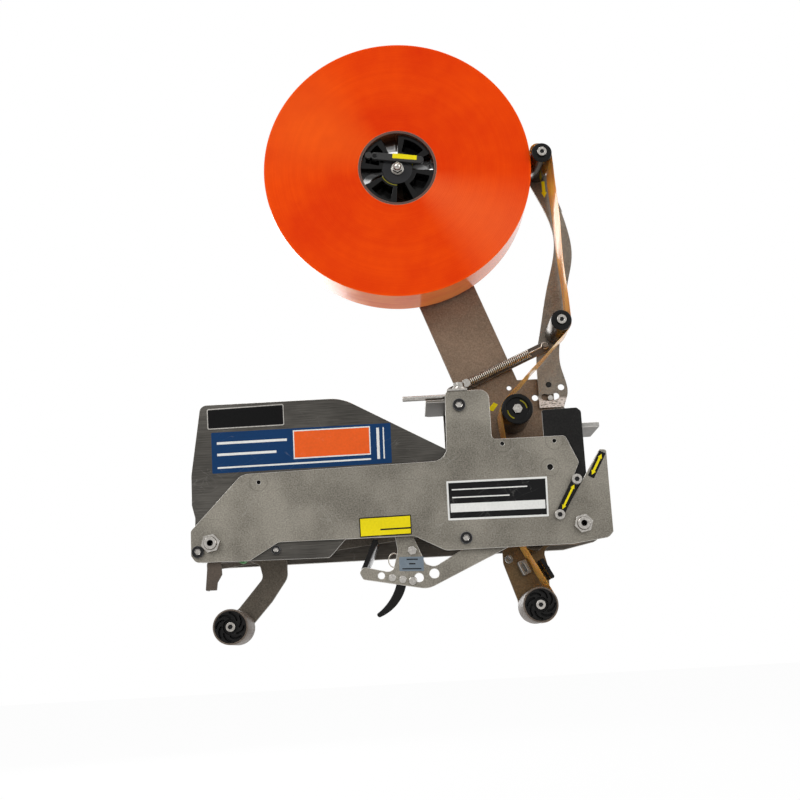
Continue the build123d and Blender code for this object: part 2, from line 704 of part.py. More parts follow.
with BuildPart() as wrap_roller:
    disc(wrap_x, wrap_z, wrap_r, wrap_front_y, roller_back_y)
    disc(wrap_x, wrap_z, guide_axle_r + run_gap, wrap_front_y, roller_back_y, Mode.SUBTRACT)
wrap_roller.part.label = "wrap_roller"
export_step(wrap_roller.part, "parts/wrap_roller.step")

# Small guides on the apply arm
with BuildPart() as finger_bracket:
    slab(
        [
            (apply_x - 15.5, apply_z + 44.5, 1.5),
            (apply_x - 7.4, apply_z + 47.0, 1.5),
            (apply_x - 1.8, apply_z + 34.0, 1.5),
            (apply_x - 9.5, apply_z + 30.5, 1.5),
        ],
        arm_y - 14.0,
        arm_y,
    )
    strap(
        (apply_x - 10.4, apply_z + 41.5),
        (apply_x - 7.6, apply_z + 35.7),
        3.2,
        arm_y - 14.0,
        arm_y - 9.0,
        Mode.SUBTRACT,
    )
    socket_screw(*arm_screw, 4.2, arm_y, 2.6, 1.5, 2.0)
finger_bracket.part.label = "finger_bracket"
export_step(finger_bracket.part, "parts/finger_bracket.step")


def tangent_side(centre, radius, other, other_radius, side):
    """Angle at centre of the line that crosses between two circles, leaving on the given side."""
    reach = hypot(other[0] - centre[0], other[1] - centre[1])
    bearing = degrees(atan2(other[1] - centre[1], other[0] - centre[0]))
    return bearing + side * degrees(acos((radius + other_radius) / reach))


film_step = film_gap + film_t / 2
apply_leave = tangent_side((apply_x, apply_z), apply_r + film_step, (wrap_x, wrap_z), wrap_r + film_step, -1)
apply_touch = ahead(apply_x, apply_z, apply_r + film_step, apply_leave)
wrap_touch = ahead(wrap_x, wrap_z, wrap_r + film_step, apply_leave + 180.0)
film_lean = degrees(atan2(apply_touch[1] - wrap_touch[1], apply_touch[0] - wrap_touch[0]))
with BuildPart() as tape_fingers:
    disc(finger_rod[0], finger_rod[1], 2.2, 33.0, arm_y)
    for finger_y in (34.0, 58.0):
        strap(
            ahead(finger_rod[0], finger_rod[1], 9.0, film_lean + 180.0),
            ahead(finger_rod[0], finger_rod[1], 9.0, film_lean),
            4.0,
            finger_y,
            finger_y + 9.0,
        )
tape_fingers.part.label = "tape_fingers"
export_step(tape_fingers.part, "parts/tape_fingers.step")

# Link between the two arms: pinned at the apply arm, open hook over the buffing arm's pin
with BuildPart() as link_bar:
    strap((buff_crank_x, buff_crank_z), (apply_crank_x, apply_crank_z), link_w, link_y, link_y + link_t)
    disc(apply_crank_x, apply_crank_z, 7.0, link_y, link_y + link_t)
    strap(
        (buff_crank_x, buff_crank_z - 3.5),
        (buff_crank_x, buff_crank_z),
        14.0,
        link_y,
        link_y + link_t,
    )
    disc(apply_crank_x, apply_crank_z, crank_pin_r + run_gap, link_y, link_y + link_t, Mode.SUBTRACT)
    strap(
        (buff_crank_x, buff_crank_z - link_slack - 12.0),
        (buff_crank_x, buff_crank_z),
        crank_pin_r * 2 + 1.0,
        link_y,
        link_y + link_t,
        Mode.SUBTRACT,
    )
link_bar.part.label = "link_bar"
export_step(link_bar.part, "parts/link_bar.step")

# Knife arm, blade, holder and tail
head_x = knife_pivot_x - 110.0
head_z = knife_pivot_z + 3.0
knife_screw_places = ((head_x - 7.0, head_z - 41.3), (head_x + 3.0, head_z - 43.4))
spring_peg = (knife_pivot_x + 16.0, knife_pivot_z + 8.0)
with BuildPart() as knife_arm:
    slab(
        [
            (knife_pivot_x + 8.0, knife_pivot_z + 9.0, 2.0),
            (knife_pivot_x - 9.0, knife_pivot_z + 6.0, 10.0),
            (head_x + 34.0, head_z - 33.0, 8.0),
            (head_x + 26.0, head_z - 30.0, 3.0),
            (head_x + 11.0, head_z + 8.0, 5.0),
            (head_x - 4.0, head_z + 8.0, 5.0),
            (head_x - 0.5, head_z - 16.0, 10.0),
            (head_x - 6.5, head_z - 36.5, 6.0),
            (head_x - 34.5, head_z - 29.5, 4.0),
            (head_x - 38.2, head_z - 35.0, 3.0),
            (head_x - 35.0, head_z - 41.6, 3.0),
            (head_x + 27.0, head_z - 53.8, 22.0),
            (knife_pivot_x + 2.0, knife_pivot_z - 12.5, 10.0),
            (knife_pivot_x + 20.0, knife_pivot_z - 2.0, 5.0),
            (knife_pivot_x + 20.0, knife_pivot_z + 13.0, 5.0),
            (knife_pivot_x + 12.0, knife_pivot_z + 13.0, 2.0),
        ],
        knife_y,
        knife_back_y,
    )
    disc(knife_pivot_x, knife_pivot_z, knife_pin_r + run_gap, knife_y, knife_back_y, Mode.SUBTRACT)
    for hole_x, hole_z, hole_r in ((18.7, -42.4, 4.3), (33.6, -39.3, 4.6), (-17.3, -38.8, 3.2)):
        disc(head_x + hole_x, head_z + hole_z, hole_r, knife_y, knife_back_y, Mode.SUBTRACT)
    disc(*spring_peg, 1.8, knife_back_y, knife_back_y + 3.6)
knife_arm.part.label = "knife_arm"
export_step(knife_arm.part, "parts/knife_arm.step")

with BuildPart() as knife_screws:
    for screw_x, screw_z in knife_screw_places:
        disc(screw_x, screw_z, 3.6, knife_y - 0.9, knife_y)
    disc(head_x + 12.5, head_z - 45.2, 4.2, knife_y - 2.4, knife_y)
    hexagon(head_x + 13.4, head_z - 16.3, 8.0, knife_y - 2.6, knife_y, turn=8.0)
    fillet(knife_screws.edges().filter_by(GeomType.CIRCLE).sort_by(Axis.Y)[0], 1.4)
knife_screws.part.label = "knife_screws"
export_step(knife_screws.part, "parts/knife_screws.step")

holder_end_y = tape_back_y + 1.0
with BuildPart() as knife_holder:
    slab(
        [
            (head_x - 36.5, head_z - 31.6, 0.0),
            (head_x - 31.5, head_z - 31.2, 0.0),
            (head_x - 19.0, head_z - 5.0, 0.0),
            (head_x - 23.5, head_z - 3.0, 0.0),
        ],
        knife_back_y,
        holder_end_y,
    )
    slab(
        [
            (head_x - 36.5, head_z - 40.0, 1.5),
            (head_x - 26.0, head_z - 39.0, 1.5),
            (head_x - 31.5, head_z - 31.2, 0.0),
            (head_x - 36.5, head_z - 31.6, 0.0),
        ],
        knife_back_y,
        tape_y - 2.0,
    )
knife_holder.part.label = "knife_holder"
export_step(knife_holder.part, "parts/knife_holder.step")

tooth_pitch = 3.0
tooth_h = 2.2
blade_t = 0.9
blade_w = 19.0
blade_lean = degrees(atan2(31.2 - 5.0, 31.5 - 19.0))
blade_plane = Plane(
    origin=(head_x - 25.25, tape_mid_y, head_z - 18.1),
    x_dir=(0, 1, 0),
    z_dir=(sin(radians(blade_lean)), 0, -cos(radians(blade_lean))),
)
blade_points = [(-tape_w / 2, -blade_w / 2), (tape_w / 2, -blade_w / 2), (tape_w / 2, blade_w / 2)]
for tooth in range(int(tape_w // tooth_pitch)):
    blade_points.append((tape_w / 2 - (tooth + 0.5) * tooth_pitch, blade_w / 2 + tooth_h))
    blade_points.append((tape_w / 2 - (tooth + 1) * tooth_pitch, blade_w / 2))
with BuildPart() as knife_blade:
    with BuildSketch(blade_plane) as blade_outline:
        Polygon(blade_points, align=None)
    extrude(blade_outline.sketch, amount=blade_t)
knife_blade.part.label = "knife_blade"
export_step(knife_blade.part, "parts/knife_blade.step")

tail_root = (head_x + 7.3, head_z - 40.0)
tail_tip = (head_x - 23.0, head_z - 74.2)
with BuildPart() as knife_tail:
    with BuildSketch(facing(knife_back_y + 4.0)) as tail_outline:
        with BuildLine():
            tail_back = ThreePointArc(tail_root, (head_x + 2.6, head_z - 57.6), (head_x - 20.0, head_z - 77.6))
            ThreePointArc(tail_back @ 1, (head_x - 22.7, head_z - 77.0), tail_tip)
            ThreePointArc(tail_tip, (head_x - 10.0, head_z - 61.2), (head_x - 3.0, head_z - 46.0))
            Polyline((head_x - 3.0, head_z - 46.0), (head_x - 10.0, head_z - 38.0), tail_root)
        make_face()
    extrude(tail_outline.sketch, amount=4.0)
knife_tail.part.label = "knife_tail"
export_step(knife_tail.part, "parts/knife_tail.step")


def coil_spring(start, end, radius, y, eye_r, coils, tail=0.0):
    """Close-wound extension spring: ribbed body, an eye at each end and a straight tail before the far eye."""
    run = hypot(end[0] - start[0], end[1] - start[1])
    lean = degrees(atan2(end[1] - start[1], end[0] - start[0]))
    neck = eye_r + wire_r
    body = run - 2 * neck - tail
    pitch = body / coils
    along = Plane(
        origin=(start[0] + neck * cos(radians(lean)), y, start[1] + neck * sin(radians(lean))),
        x_dir=(cos(radians(lean)), 0, sin(radians(lean))),
        z_dir=(0, -1, 0),
    )
    crest = [(0, 0), (0, radius - 1.4)]
    for turn in range(coils):
        crest.append(((turn + 0.5) * pitch, radius))
        crest.append(((turn + 1) * pitch, radius - 1.0))
    if tail > 0:
        crest.append((body, wire_r))
        crest.append((body + tail, wire_r))
    with BuildSketch(along) as profile:
        with BuildLine():
            Polyline(crest + [(body + tail, 0)], close=True)
        make_face()
    revolve(profile.sketch, axis=Axis(along.origin, along.x_dir))
    for eye_x, eye_z in (start, end):
        disc(eye_x, eye_z, eye_r + 2 * wire_r, y - wire_r, y + wire_r)
    for eye_x, eye_z in (start, end):
        disc(eye_x, eye_z, eye_r, y - radius, y + radius, Mode.SUBTRACT)


with BuildPart() as unwind_spring:
    coil_spring((post_x, post_z), (bar_pin_x, bar_pin_z), spring_r, spring_y, post_r + 0.3, 12, spring_tail)
unwind_spring.part.label = "unwind_spring"
export_step(unwind_spring.part, "parts/unwind_spring.step")

with BuildPart() as knife_spring:
    coil_spring(spring_peg, knife_post, 2.4, knife_back_y + 2.9, 2.3, 10)
knife_spring.part.label = "knife_spring"
export_step(knife_spring.part, "parts/knife_spring.step")

# Unwind follower arm, its rollers and the spring bar
arm_rise = guide_1_z - unwind_z
stop_track = CenterArc((0, 0), unwind_stop_orbit, -112.0, 52.0)
with BuildPart() as unwind_arm:
    with BuildSketch(facing(arm_back_y)) as follower_outline:
        with BuildLine():
            Spline(
                (guide_1_x - 10.0, guide_1_z),
                (guide_1_x - 4.8, guide_1_z - 19.5),
                (unwind_x + 17.7, unwind_z + 0.695 * arm_rise),
                (unwind_x + 6.3, unwind_z + 0.447 * arm_rise),
                (unwind_x - 6.1, unwind_z + 50.8),
                (unwind_x - 11.1, unwind_z + 14.8),
                tangents=((0, -1), (0, -1)),
            )
            Line((unwind_x - 11.1, unwind_z + 14.8), (unwind_x - 11.1, unwind_z - 24.2))
            Line((unwind_x - 11.1, unwind_z - 24.2), (unwind_x + 14.3, unwind_z - 24.2))
            Spline(
                (unwind_x + 14.3, unwind_z - 24.2),
                (unwind_x + 19.1, unwind_z - 10.2),
                (unwind_x + 14.3, unwind_z + 18.8),
                (unwind_x + 18.9, unwind_z + 60.8),
                (unwind_x + 30.3, unwind_z + 0.49 * arm_rise),
                (unwind_x + 35.7, unwind_z + 0.652 * arm_rise),
                (guide_1_x + 22.2, guide_1_z - 37.5),
                (guide_1_x + 10.0, guide_1_z),
                tangents=((1, 3), (-1, 3)),
            )
            ThreePointArc(
                (guide_1_x + 10.0, guide_1_z),
                (guide_1_x, guide_1_z + 10.0),
                (guide_1_x - 10.0, guide_1_z),
            )
        make_face()
    extrude(follower_outline.sketch, amount=arm_t)
    disc(unwind_x, unwind_z, unwind_pin_r + run_gap, arm_y, arm_back_y, Mode.SUBTRACT)
    disc(*ahead(unwind_x, unwind_z, 13.2, -14.0), 3.4, arm_y, arm_back_y, Mode.SUBTRACT)
    with BuildSketch(facing(arm_back_y)) as stop_slot:
        with Locations((unwind_x, unwind_z)):
            SlotArc(stop_track, 6.8)
    extrude(stop_slot.sketch, amount=arm_t, mode=Mode.SUBTRACT)
    for axle_x, axle_z in ((guide_1_x, guide_1_z), (guide_2_x, guide_2_z)):
        disc(axle_x, axle_z, guide_axle_r, arm_y, arm_back_y, Mode.SUBTRACT)
    disc(bar_pin_x, bar_pin_z, bar_pin_r, spring_y - 3.0, arm_y)
unwind_arm.part.label = "unwind_arm"
export_step(unwind_arm.part, "parts/unwind_arm.step")

with BuildPart() as guide_axles:
    for axle_x, axle_z in ((guide_1_x, guide_1_z), (guide_2_x, guide_2_z)):
        disc(axle_x, axle_z, guide_axle_r, roller_front_y - 0.5, arm_back_y)
        socket_screw(axle_x, axle_z, 4.8, roller_front_y - 0.5, 2.6, 1.5, 1.0)
guide_axles.part.label = "guide_axles"
export_step(guide_axles.part, "parts/guide_axles.step")

with BuildPart() as guide_roller_1:
    disc(guide_1_x, guide_1_z, guide_r, roller_front_y, roller_back_y)
    disc(guide_1_x, guide_1_z, guide_axle_r + run_gap, roller_front_y, roller_back_y, Mode.SUBTRACT)
guide_roller_1.part.label = "guide_roller_1"
export_step(guide_roller_1.part, "parts/guide_roller_1.step")

with BuildPart() as guide_roller_2:
    disc(guide_2_x, guide_2_z, guide_r, roller_front_y, roller_back_y)
    disc(guide_2_x, guide_2_z, guide_axle_r + run_gap, roller_front_y, roller_back_y, Mode.SUBTRACT)
guide_roller_2.part.label = "guide_roller_2"
export_step(guide_roller_2.part, "parts/guide_roller_2.step")

with BuildPart() as tension_roller:
    disc(tension_x, tension_z, tension_r, roller_front_y, roller_back_y)
    disc(tension_x, tension_z, roller_axle_r + run_gap, roller_front_y, roller_back_y, Mode.SUBTRACT)
    disc(tension_x, tension_z, 11.5, roller_front_y, roller_front_y + 3.0, Mode.SUBTRACT)
    fillet(tension_roller.edges().filter_by(GeomType.CIRCLE).group_by(Axis.Y)[0].sort_by(SortBy.RADIUS)[-1], 1.2)
tension_roller.part.label = "tension_roller"
export_step(tension_roller.part, "parts/tension_roller.step")

bar_y = arm_y - bar_t - 0.3
bar_run = hypot(post_x - bar_pin_x, post_z - bar_pin_z)
bar_angle = degrees(atan2(post_z - bar_pin_z, post_x - bar_pin_x))
with BuildPart() as spring_bar:
    strap(
        (bar_pin_x, bar_pin_z),
        ahead(bar_pin_x, bar_pin_z, bar_run + bar_travel + 2.0, bar_angle),
        bar_w,
        bar_y,
        bar_y + bar_t,
    )
    disc(bar_pin_x, bar_pin_z, bar_pin_r + run_gap, bar_y, bar_y + bar_t, Mode.SUBTRACT)
    strap(
        ahead(bar_pin_x, bar_pin_z, bar_run - 0.5, bar_angle),
        ahead(bar_pin_x, bar_pin_z, bar_run + bar_travel, bar_angle),
        post_r * 2 + 1.6,
        bar_y,
        bar_y + bar_t,
        Mode.SUBTRACT,
    )
spring_bar.part.label = "spring_bar"
export_step(spring_bar.part, "parts/spring_bar.step")

# Drum, core, roll and lock lever
drum_centre = (roll_x, roll_z)
drum_turn = 55.0
drum_pocket_span = drum_lug_span - 22.0
lever_pin = (roll_x - 23.0, roll_z + 14.4)
with BuildPart() as tape_drum:
    disc(roll_x, roll_z, drum_boss_r, drum_y, tape_back_y)
    with BuildSketch(facing(tape_back_y)) as lug_sketch:
        for lug in range(drum_lugs):
            lug_start = drum_turn + lug * 360.0 / drum_lugs - drum_lug_span / 2
            ring_sector(drum_centre, drum_boss_r - 1.0, core_r, lug_start, drum_lug_span)
    extrude(lug_sketch.sketch, amount=tape_back_y - drum_y)
    with BuildSketch(facing(drum_y + drum_pocket)) as pocket_sketch:
        for lug in range(drum_lugs):
            pocket_start = drum_turn + lug * 360.0 / drum_lugs - drum_pocket_span / 2
            ring_sector(drum_centre, drum_boss_r + 4.0, core_r - 4.0, pocket_start, drum_pocket_span)
    extrude(pocket_sketch.sketch, amount=drum_pocket, mode=Mode.SUBTRACT)
    disc(roll_x, roll_z, spindle_r + run_gap, drum_y, tape_back_y, Mode.SUBTRACT)
    disc(lever_pin[0], lever_pin[1], 4.2, drum_y, drum_y + drum_pocket + 1.0)
    disc(lever_pin[0], lever_pin[1], 2.0, drum_y - lever_t - 1.5, drum_y)
tape_drum.part.label = "tape_drum"
export_step(tape_drum.part, "parts/tape_drum.step")

with BuildPart() as tape_core:
    disc(roll_x, roll_z, core_r + core_wall, tape_y, tape_back_y)
    disc(roll_x, roll_z, core_r, tape_y, tape_back_y, Mode.SUBTRACT)
tape_core.part.label = "tape_core"
export_step(tape_core.part, "parts/tape_core.step")

with BuildPart() as tape_roll:
    disc(roll_x, roll_z, roll_r, tape_y, tape_back_y)
    disc(roll_x, roll_z, core_r + core_wall, tape_y, tape_back_y, Mode.SUBTRACT)
tape_roll.part.label = "tape_roll"
export_step(tape_roll.part, "parts/tape_roll.step")

lever_lean = -8.5
with BuildPart() as lock_lever:
    strap(
        lever_pin,
        ahead(lever_pin[0], lever_pin[1], lever_len, lever_lean),
        lever_w,
        drum_y - lever_t - 0.9,
        drum_y - 0.9,
    )
    disc(*ahead(lever_pin[0], lever_pin[1], 6.5, 180.0 + lever_lean), 3.6, drum_y - lever_t - 0.9, drum_y - 0.9)
    disc(lever_pin[0], lever_pin[1], 2.0 + run_gap, drum_y - lever_t - 2.0, drum_y, Mode.SUBTRACT)
lock_lever.part.label = "lock_lever"
export_step(lock_lever.part, "parts/lock_lever.step")


def film_arc(centre, radius, start, span):
    """Film wrapped round a centre, as a thin arc in the current sketch."""
    ring_sector(centre, radius - film_t / 2, radius + film_t / 2, start, span)


def film_run(start, end):
    """Film pulled straight between two points, as a thin strip in the current sketch."""
    run = hypot(end[0] - start[0], end[1] - start[1])
    with Locations(((start[0] + end[0]) / 2, (start[1] + end[1]) / 2)):
        Rectangle(run, film_t, rotation=degrees(atan2(end[1] - start[1], end[0] - start[0])))


# Film from the follower's first guide roller to its second
guide_1 = (guide_1_x, guide_1_z)
guide_2 = (guide_2_x, guide_2_z)
tension = (tension_x, tension_z)
film_guide_r = guide_r + film_step
guide_bearing = degrees(atan2(guide_2_z - guide_1_z, guide_2_x - guide_1_x))
outer_side = guide_bearing + 90.0
tension_leave = tangent_side(tension, tension_r + film_step, guide_2, film_guide_r, 1)
with BuildPart() as film_guides:
    with BuildSketch(facing(tape_back_y)) as guide_ribbon:
        film_arc(guide_1, film_guide_r, outer_side, 158.0 - outer_side)
        film_run(ahead(*guide_1, film_guide_r, outer_side), ahead(*guide_2, film_guide_r, outer_side))
        film_arc(guide_2, film_guide_r, tension_leave - 180.0, outer_side - tension_leave + 180.0)
    extrude(guide_ribbon.sketch, amount=tape_w)
film_guides.part.label = "film_guides"
export_step(film_guides.part, "parts/film_guides.step")

# Film from the second guide roller to the tension roller
upper_start = ahead(*guide_2, film_guide_r, tension_leave - 180.0)
upper_end = ahead(*tension, tension_r + film_step, tension_leave)
upper_lean = degrees(atan2(upper_end[1] - upper_start[1], upper_end[0] - upper_start[0]))
with BuildPart() as film_upper:
    with BuildSketch(facing(tape_back_y)) as upper_ribbon:
        film_run(ahead(*upper_start, film_gap, upper_lean), upper_end)
    extrude(upper_ribbon.sketch, amount=tape_w)
film_upper.part.label = "film_upper"
export_step(film_upper.part, "parts/film_upper.step")

# Film round the tension roller and down to the wrap roller
wrap = (wrap_x, wrap_z)
drop_bearing = degrees(atan2(wrap_z - tension_z, wrap_x - tension_x)) + 360.0
drop_reach = hypot(wrap_x - tension_x, wrap_z - tension_z)
drop_side = drop_bearing - degrees(acos((tension_r - wrap_r) / drop_reach))
drop_end = ahead(*wrap, wrap_r + film_step, drop_side)
with BuildPart() as film_lower:
    with BuildSketch(facing(tape_back_y)) as lower_ribbon:
        film_arc(tension, tension_r + film_step, tension_leave, drop_side - tension_leave)
        film_run(ahead(*tension, tension_r + film_step, drop_side), drop_end)
    extrude(lower_ribbon.sketch, amount=tape_w)
film_lower.part.label = "film_lower"
export_step(film_lower.part, "parts/film_lower.step")

# Film under the wrap roller and on to the apply roller
wrap_start = drop_side + 2.0
wrap_end = apply_leave + 180.0
film_lip = -75.0
with BuildPart() as film_apply:
    with BuildSketch(facing(tape_back_y)) as apply_ribbon:
        film_arc(wrap, wrap_r + film_step, wrap_start, wrap_end - wrap_start)
        film_run(wrap_touch, apply_touch)
        film_arc((apply_x, apply_z), apply_r + film_step, film_lip, apply_leave - film_lip)
    extrude(apply_ribbon.sketch, amount=tape_w)
film_apply.part.label = "film_apply"
export_step(film_apply.part, "parts/film_apply.step")

# Sliding latch in the hook slot
latch_inset = 3.9
latch_rise = 1.6
latch_run = 38.5
latch_edge = ahead(*slot_corner, latch_rise, slot_up)
latch_low = ahead(*latch_edge, latch_inset, slot_up - 90.0)
latch_high = ahead(*latch_low, latch_run, slot_up)
with BuildPart() as latch_bar:
    strap(latch_low, latch_high, 5.4, front_y - 0.4, inner_y - 0.4)
    strap(latch_low, latch_high, 7.8, front_y - 2.4, front_y - 0.4)
    for screw_x, screw_z in (latch_low, latch_high):
        socket_screw(screw_x, screw_z, 4.9, front_y - 2.4, 2.4, 1.0, 1.0)
latch_bar.part.label = "latch_bar"
export_step(latch_bar.part, "parts/latch_bar.step")
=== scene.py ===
# %% [markdown]
# # A tape head for a packaging line
# This lesson dresses a tape applicator: two steel side plates, a leaning bracket with a full roll
# of orange tape, a sprung follower arm, rollers, film, a knife arm and two linked roller arms. The
# construction comes from the CAD frame, in metres and in its final place, so nothing here moves or
# resizes a part. The scene adds the finish.

# %% Load the frame
import json
import math

import bmesh
import bpy
from mathutils import Matrix, Vector


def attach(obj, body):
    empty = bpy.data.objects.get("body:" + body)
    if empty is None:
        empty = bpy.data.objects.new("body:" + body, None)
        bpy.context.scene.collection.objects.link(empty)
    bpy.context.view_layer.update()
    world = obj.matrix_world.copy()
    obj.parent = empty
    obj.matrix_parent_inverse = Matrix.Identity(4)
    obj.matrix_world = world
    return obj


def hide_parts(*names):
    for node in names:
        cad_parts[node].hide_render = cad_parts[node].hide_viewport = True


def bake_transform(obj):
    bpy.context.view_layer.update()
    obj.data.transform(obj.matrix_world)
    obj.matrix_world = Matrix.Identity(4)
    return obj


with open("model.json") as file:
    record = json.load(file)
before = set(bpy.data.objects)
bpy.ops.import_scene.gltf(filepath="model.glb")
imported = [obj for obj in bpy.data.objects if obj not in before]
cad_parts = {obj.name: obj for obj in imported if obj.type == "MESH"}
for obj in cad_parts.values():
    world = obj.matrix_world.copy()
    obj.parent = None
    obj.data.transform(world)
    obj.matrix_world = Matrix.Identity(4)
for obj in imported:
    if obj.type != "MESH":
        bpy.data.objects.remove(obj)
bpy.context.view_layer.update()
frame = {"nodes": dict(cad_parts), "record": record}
MM = 0.001

# %% [markdown]
# Rollers, arms and drum turn about axes that the frame already holds. Their places are read from
# its joints, as (x, z) in mm, so that film, springs and second finishes sit where the moving pieces
# do. The rods through the plates show in front and at the back, so their places are kept here as
# well.

# %% Places
joint_rows = {row["name"]: row for row in frame["record"]["behaviour"]["joints"]}


def axis_of(joint):
    """Place (x, z) in mm of the axis that a joint turns about."""
    place = joint_rows[joint]["pos_m"]
    return round(place[0] / MM, 3), round(place[2] / MM, 3)


roll_axis = axis_of("roll_spin")
guide_1, guide_2 = axis_of("guide_roller_1_spin"), axis_of("guide_roller_2_spin")
tension, wrap = axis_of("tension_roller_spin"), axis_of("wrap_roller_spin")
apply_roller, buff_roller = axis_of("apply_roller_spin"), axis_of("buff_roller_spin")
apply_pivot, buff_pivot = axis_of("apply_arm_swing"), axis_of("buff_arm_swing")
follower_pivot, spring_pin = axis_of("unwind_arm_swing"), axis_of("spring_bar_swing")
plate_rods = ((-131.8, 56.9), (106.8, 82.1), (157.7, 82.2))
print("roll axis:", roll_axis, "joints:", len(joint_rows))

# %% [markdown]
# The camera stands about 1.15 m in front of the head and a little below its shafts, and looks up by
# nearly 12 degrees. A slight roll tips the plates the way the photograph shows them. The place, the
# direction and the lens are named, and one matrix is worked out from them.

# %% Camera
camera_place = Vector((3.3, -1147.0, -109.8)) * MM
camera_azimuth = math.radians(0.31)
camera_elevation = math.radians(11.77)
camera_roll = math.radians(-3.11)
camera_lens = 54.0


def look_matrix(place, azimuth, elevation, roll):
    """World matrix of a camera that looks along azimuth and elevation from a place."""
    flat = math.cos(elevation)
    forward = Vector((math.sin(azimuth) * flat, math.cos(azimuth) * flat, math.sin(elevation)))
    turn = forward.to_track_quat("-Z", "Y").to_matrix().to_4x4()
    return Matrix.Translation(place) @ turn @ Matrix.Rotation(roll, 4, "Z")


camera_data = bpy.data.cameras.new("camera")
camera_data.lens = camera_lens
camera_data.sensor_width = 36.0
camera_data.clip_start = 0.01
camera = bpy.data.objects.new("camera", camera_data)
camera.matrix_world = look_matrix(camera_place, camera_azimuth, camera_elevation, camera_roll)
bpy.context.scene.collection.objects.link(camera)
bpy.context.scene.camera = camera
print("camera at", [round(v, 3) for v in camera_place])

# %% [markdown]
# Every finish below is a small node tree, so a few helpers come first. One turns the colour levels
# that a screen shows into the shader's own numbers, one adds a node, and one either links a socket
# or sets its plain value.

# %% Node helpers
def paint(red, green, blue, alpha=1.0):
    """A shader colour from the 0 to 255 levels that a screen shows."""
    parts = [level / 255.0 for level in (red, green, blue)]
    return (*(p / 12.92 if p <= 0.04045 else ((p + 0.055) / 1.055) ** 2.4 for p in parts), alpha)


def even(size):
    """The same size along all three directions."""
    return (size, size, size)


def put(tree, kind, **settings):
    """Adds a node of a kind to a tree and sets its properties."""
    node = tree.nodes.new(kind)
    for name, value in settings.items():
        setattr(node, name, value)
    return node


def feed(tree, socket, value):
    """Links a socket to another socket, or gives it a plain value."""
    if isinstance(value, bpy.types.NodeSocket):
        tree.links.new(value, socket)
    else:
        socket.default_value = value


def maths(tree, operation, *values, clamp=False):
    """A Math node with its inputs fed, and its result."""
    node = put(tree, "ShaderNodeMath", operation=operation, use_clamp=clamp)
    for socket, value in zip(node.inputs, values):
        feed(tree, socket, value)
    return node.outputs[0]


def span(tree, value, low, high, to_low=0.0, to_high=1.0):
    """Value moved from the span low to high into the span to_low to to_high, and clamped there."""
    node = put(tree, "ShaderNodeMapRange")
    for label, number in (("Value", value), ("From Min", low), ("From Max", high),
                          ("To Min", to_low), ("To Max", to_high)):
        feed(tree, node.inputs[label], number)
    return node.outputs["Result"]


def mixed(tree, share, first, second):
    """A colour that goes from the first to the second as share goes from 0 to 1."""
    node = put(tree, "ShaderNodeMix", data_type="RGBA")
    feed(tree, node.inputs[0], share)
    feed(tree, node.inputs[6], first)
    feed(tree, node.inputs[7], second)
    return node.outputs[2]


print("orange as a shader colour:", [round(v, 3) for v in paint(240, 72, 3)])

# %% [markdown]
# The stage is a pale floor under the head and a pale world. The lamps and a dim world light the
# object at a plain level. Camera, glossy and transmitted rays see plain white instead of the dim
# world, so steel and film pick up the bright studio. The floor mixes a plain white with its lit
# surface, which keeps a soft shadow in it.

# %% Floor, world and lamps
floor_z = -300.0 * MM
world_light = 0.42
world_seen = 1.0
floor_white = 0.96


def pale_world(strength, seen):
    """A soft even world that the camera and the reflections see as a pale backdrop."""
    world = bpy.data.worlds.new("studio")
    world.use_nodes = True
    tree = world.node_tree
    tree.nodes.clear()
    rays = put(tree, "ShaderNodeLightPath")
    seen_through = maths(tree, "MAXIMUM", rays.outputs["Is Camera Ray"],
                         rays.outputs["Is Transmission Ray"])
    seen_at_all = maths(tree, "MAXIMUM", seen_through, rays.outputs["Is Glossy Ray"])
    glow = put(tree, "ShaderNodeBackground")
    glow.inputs["Color"].default_value = (1.0, 1.0, 1.0, 1.0)
    feed(tree, glow.inputs["Strength"], span(tree, seen_at_all, 0.0, 1.0, strength, seen))
    result = put(tree, "ShaderNodeOutputWorld")
    tree.links.new(glow.outputs["Background"], result.inputs["Surface"])
    bpy.context.scene.world = world


def soft_lamp(name, place, aim, size, watts):
    """A large square area lamp that faces a point."""
    lamp = bpy.data.lights.new(name, "AREA")
    lamp.shape = "SQUARE"
    lamp.size = size
    lamp.energy = watts
    holder = bpy.data.objects.new(name, lamp)
    direction = Vector(aim) - Vector(place)
    turn = direction.to_track_quat("-Z", "Y").to_matrix().to_4x4()
    holder.matrix_world = Matrix.Translation(place) @ turn
    bpy.context.scene.collection.objects.link(holder)


pale_world(world_light, world_seen)
aim_point = (0.0, 0.04, 0.15)
lamp_list = (
    ("key", (-1.1, -1.3, 1.2), 0.9, 15.0),
    ("fill", (1.4, -1.0, 0.5), 1.0, 8.0),
    ("top", (0.1, 0.3, 1.6), 0.9, 9.0),
    ("back", (-0.6, 1.3, 0.5), 1.0, 8.0),
)
for name, place, size, watts in lamp_list:
    soft_lamp(name, place, aim_point, size, watts)

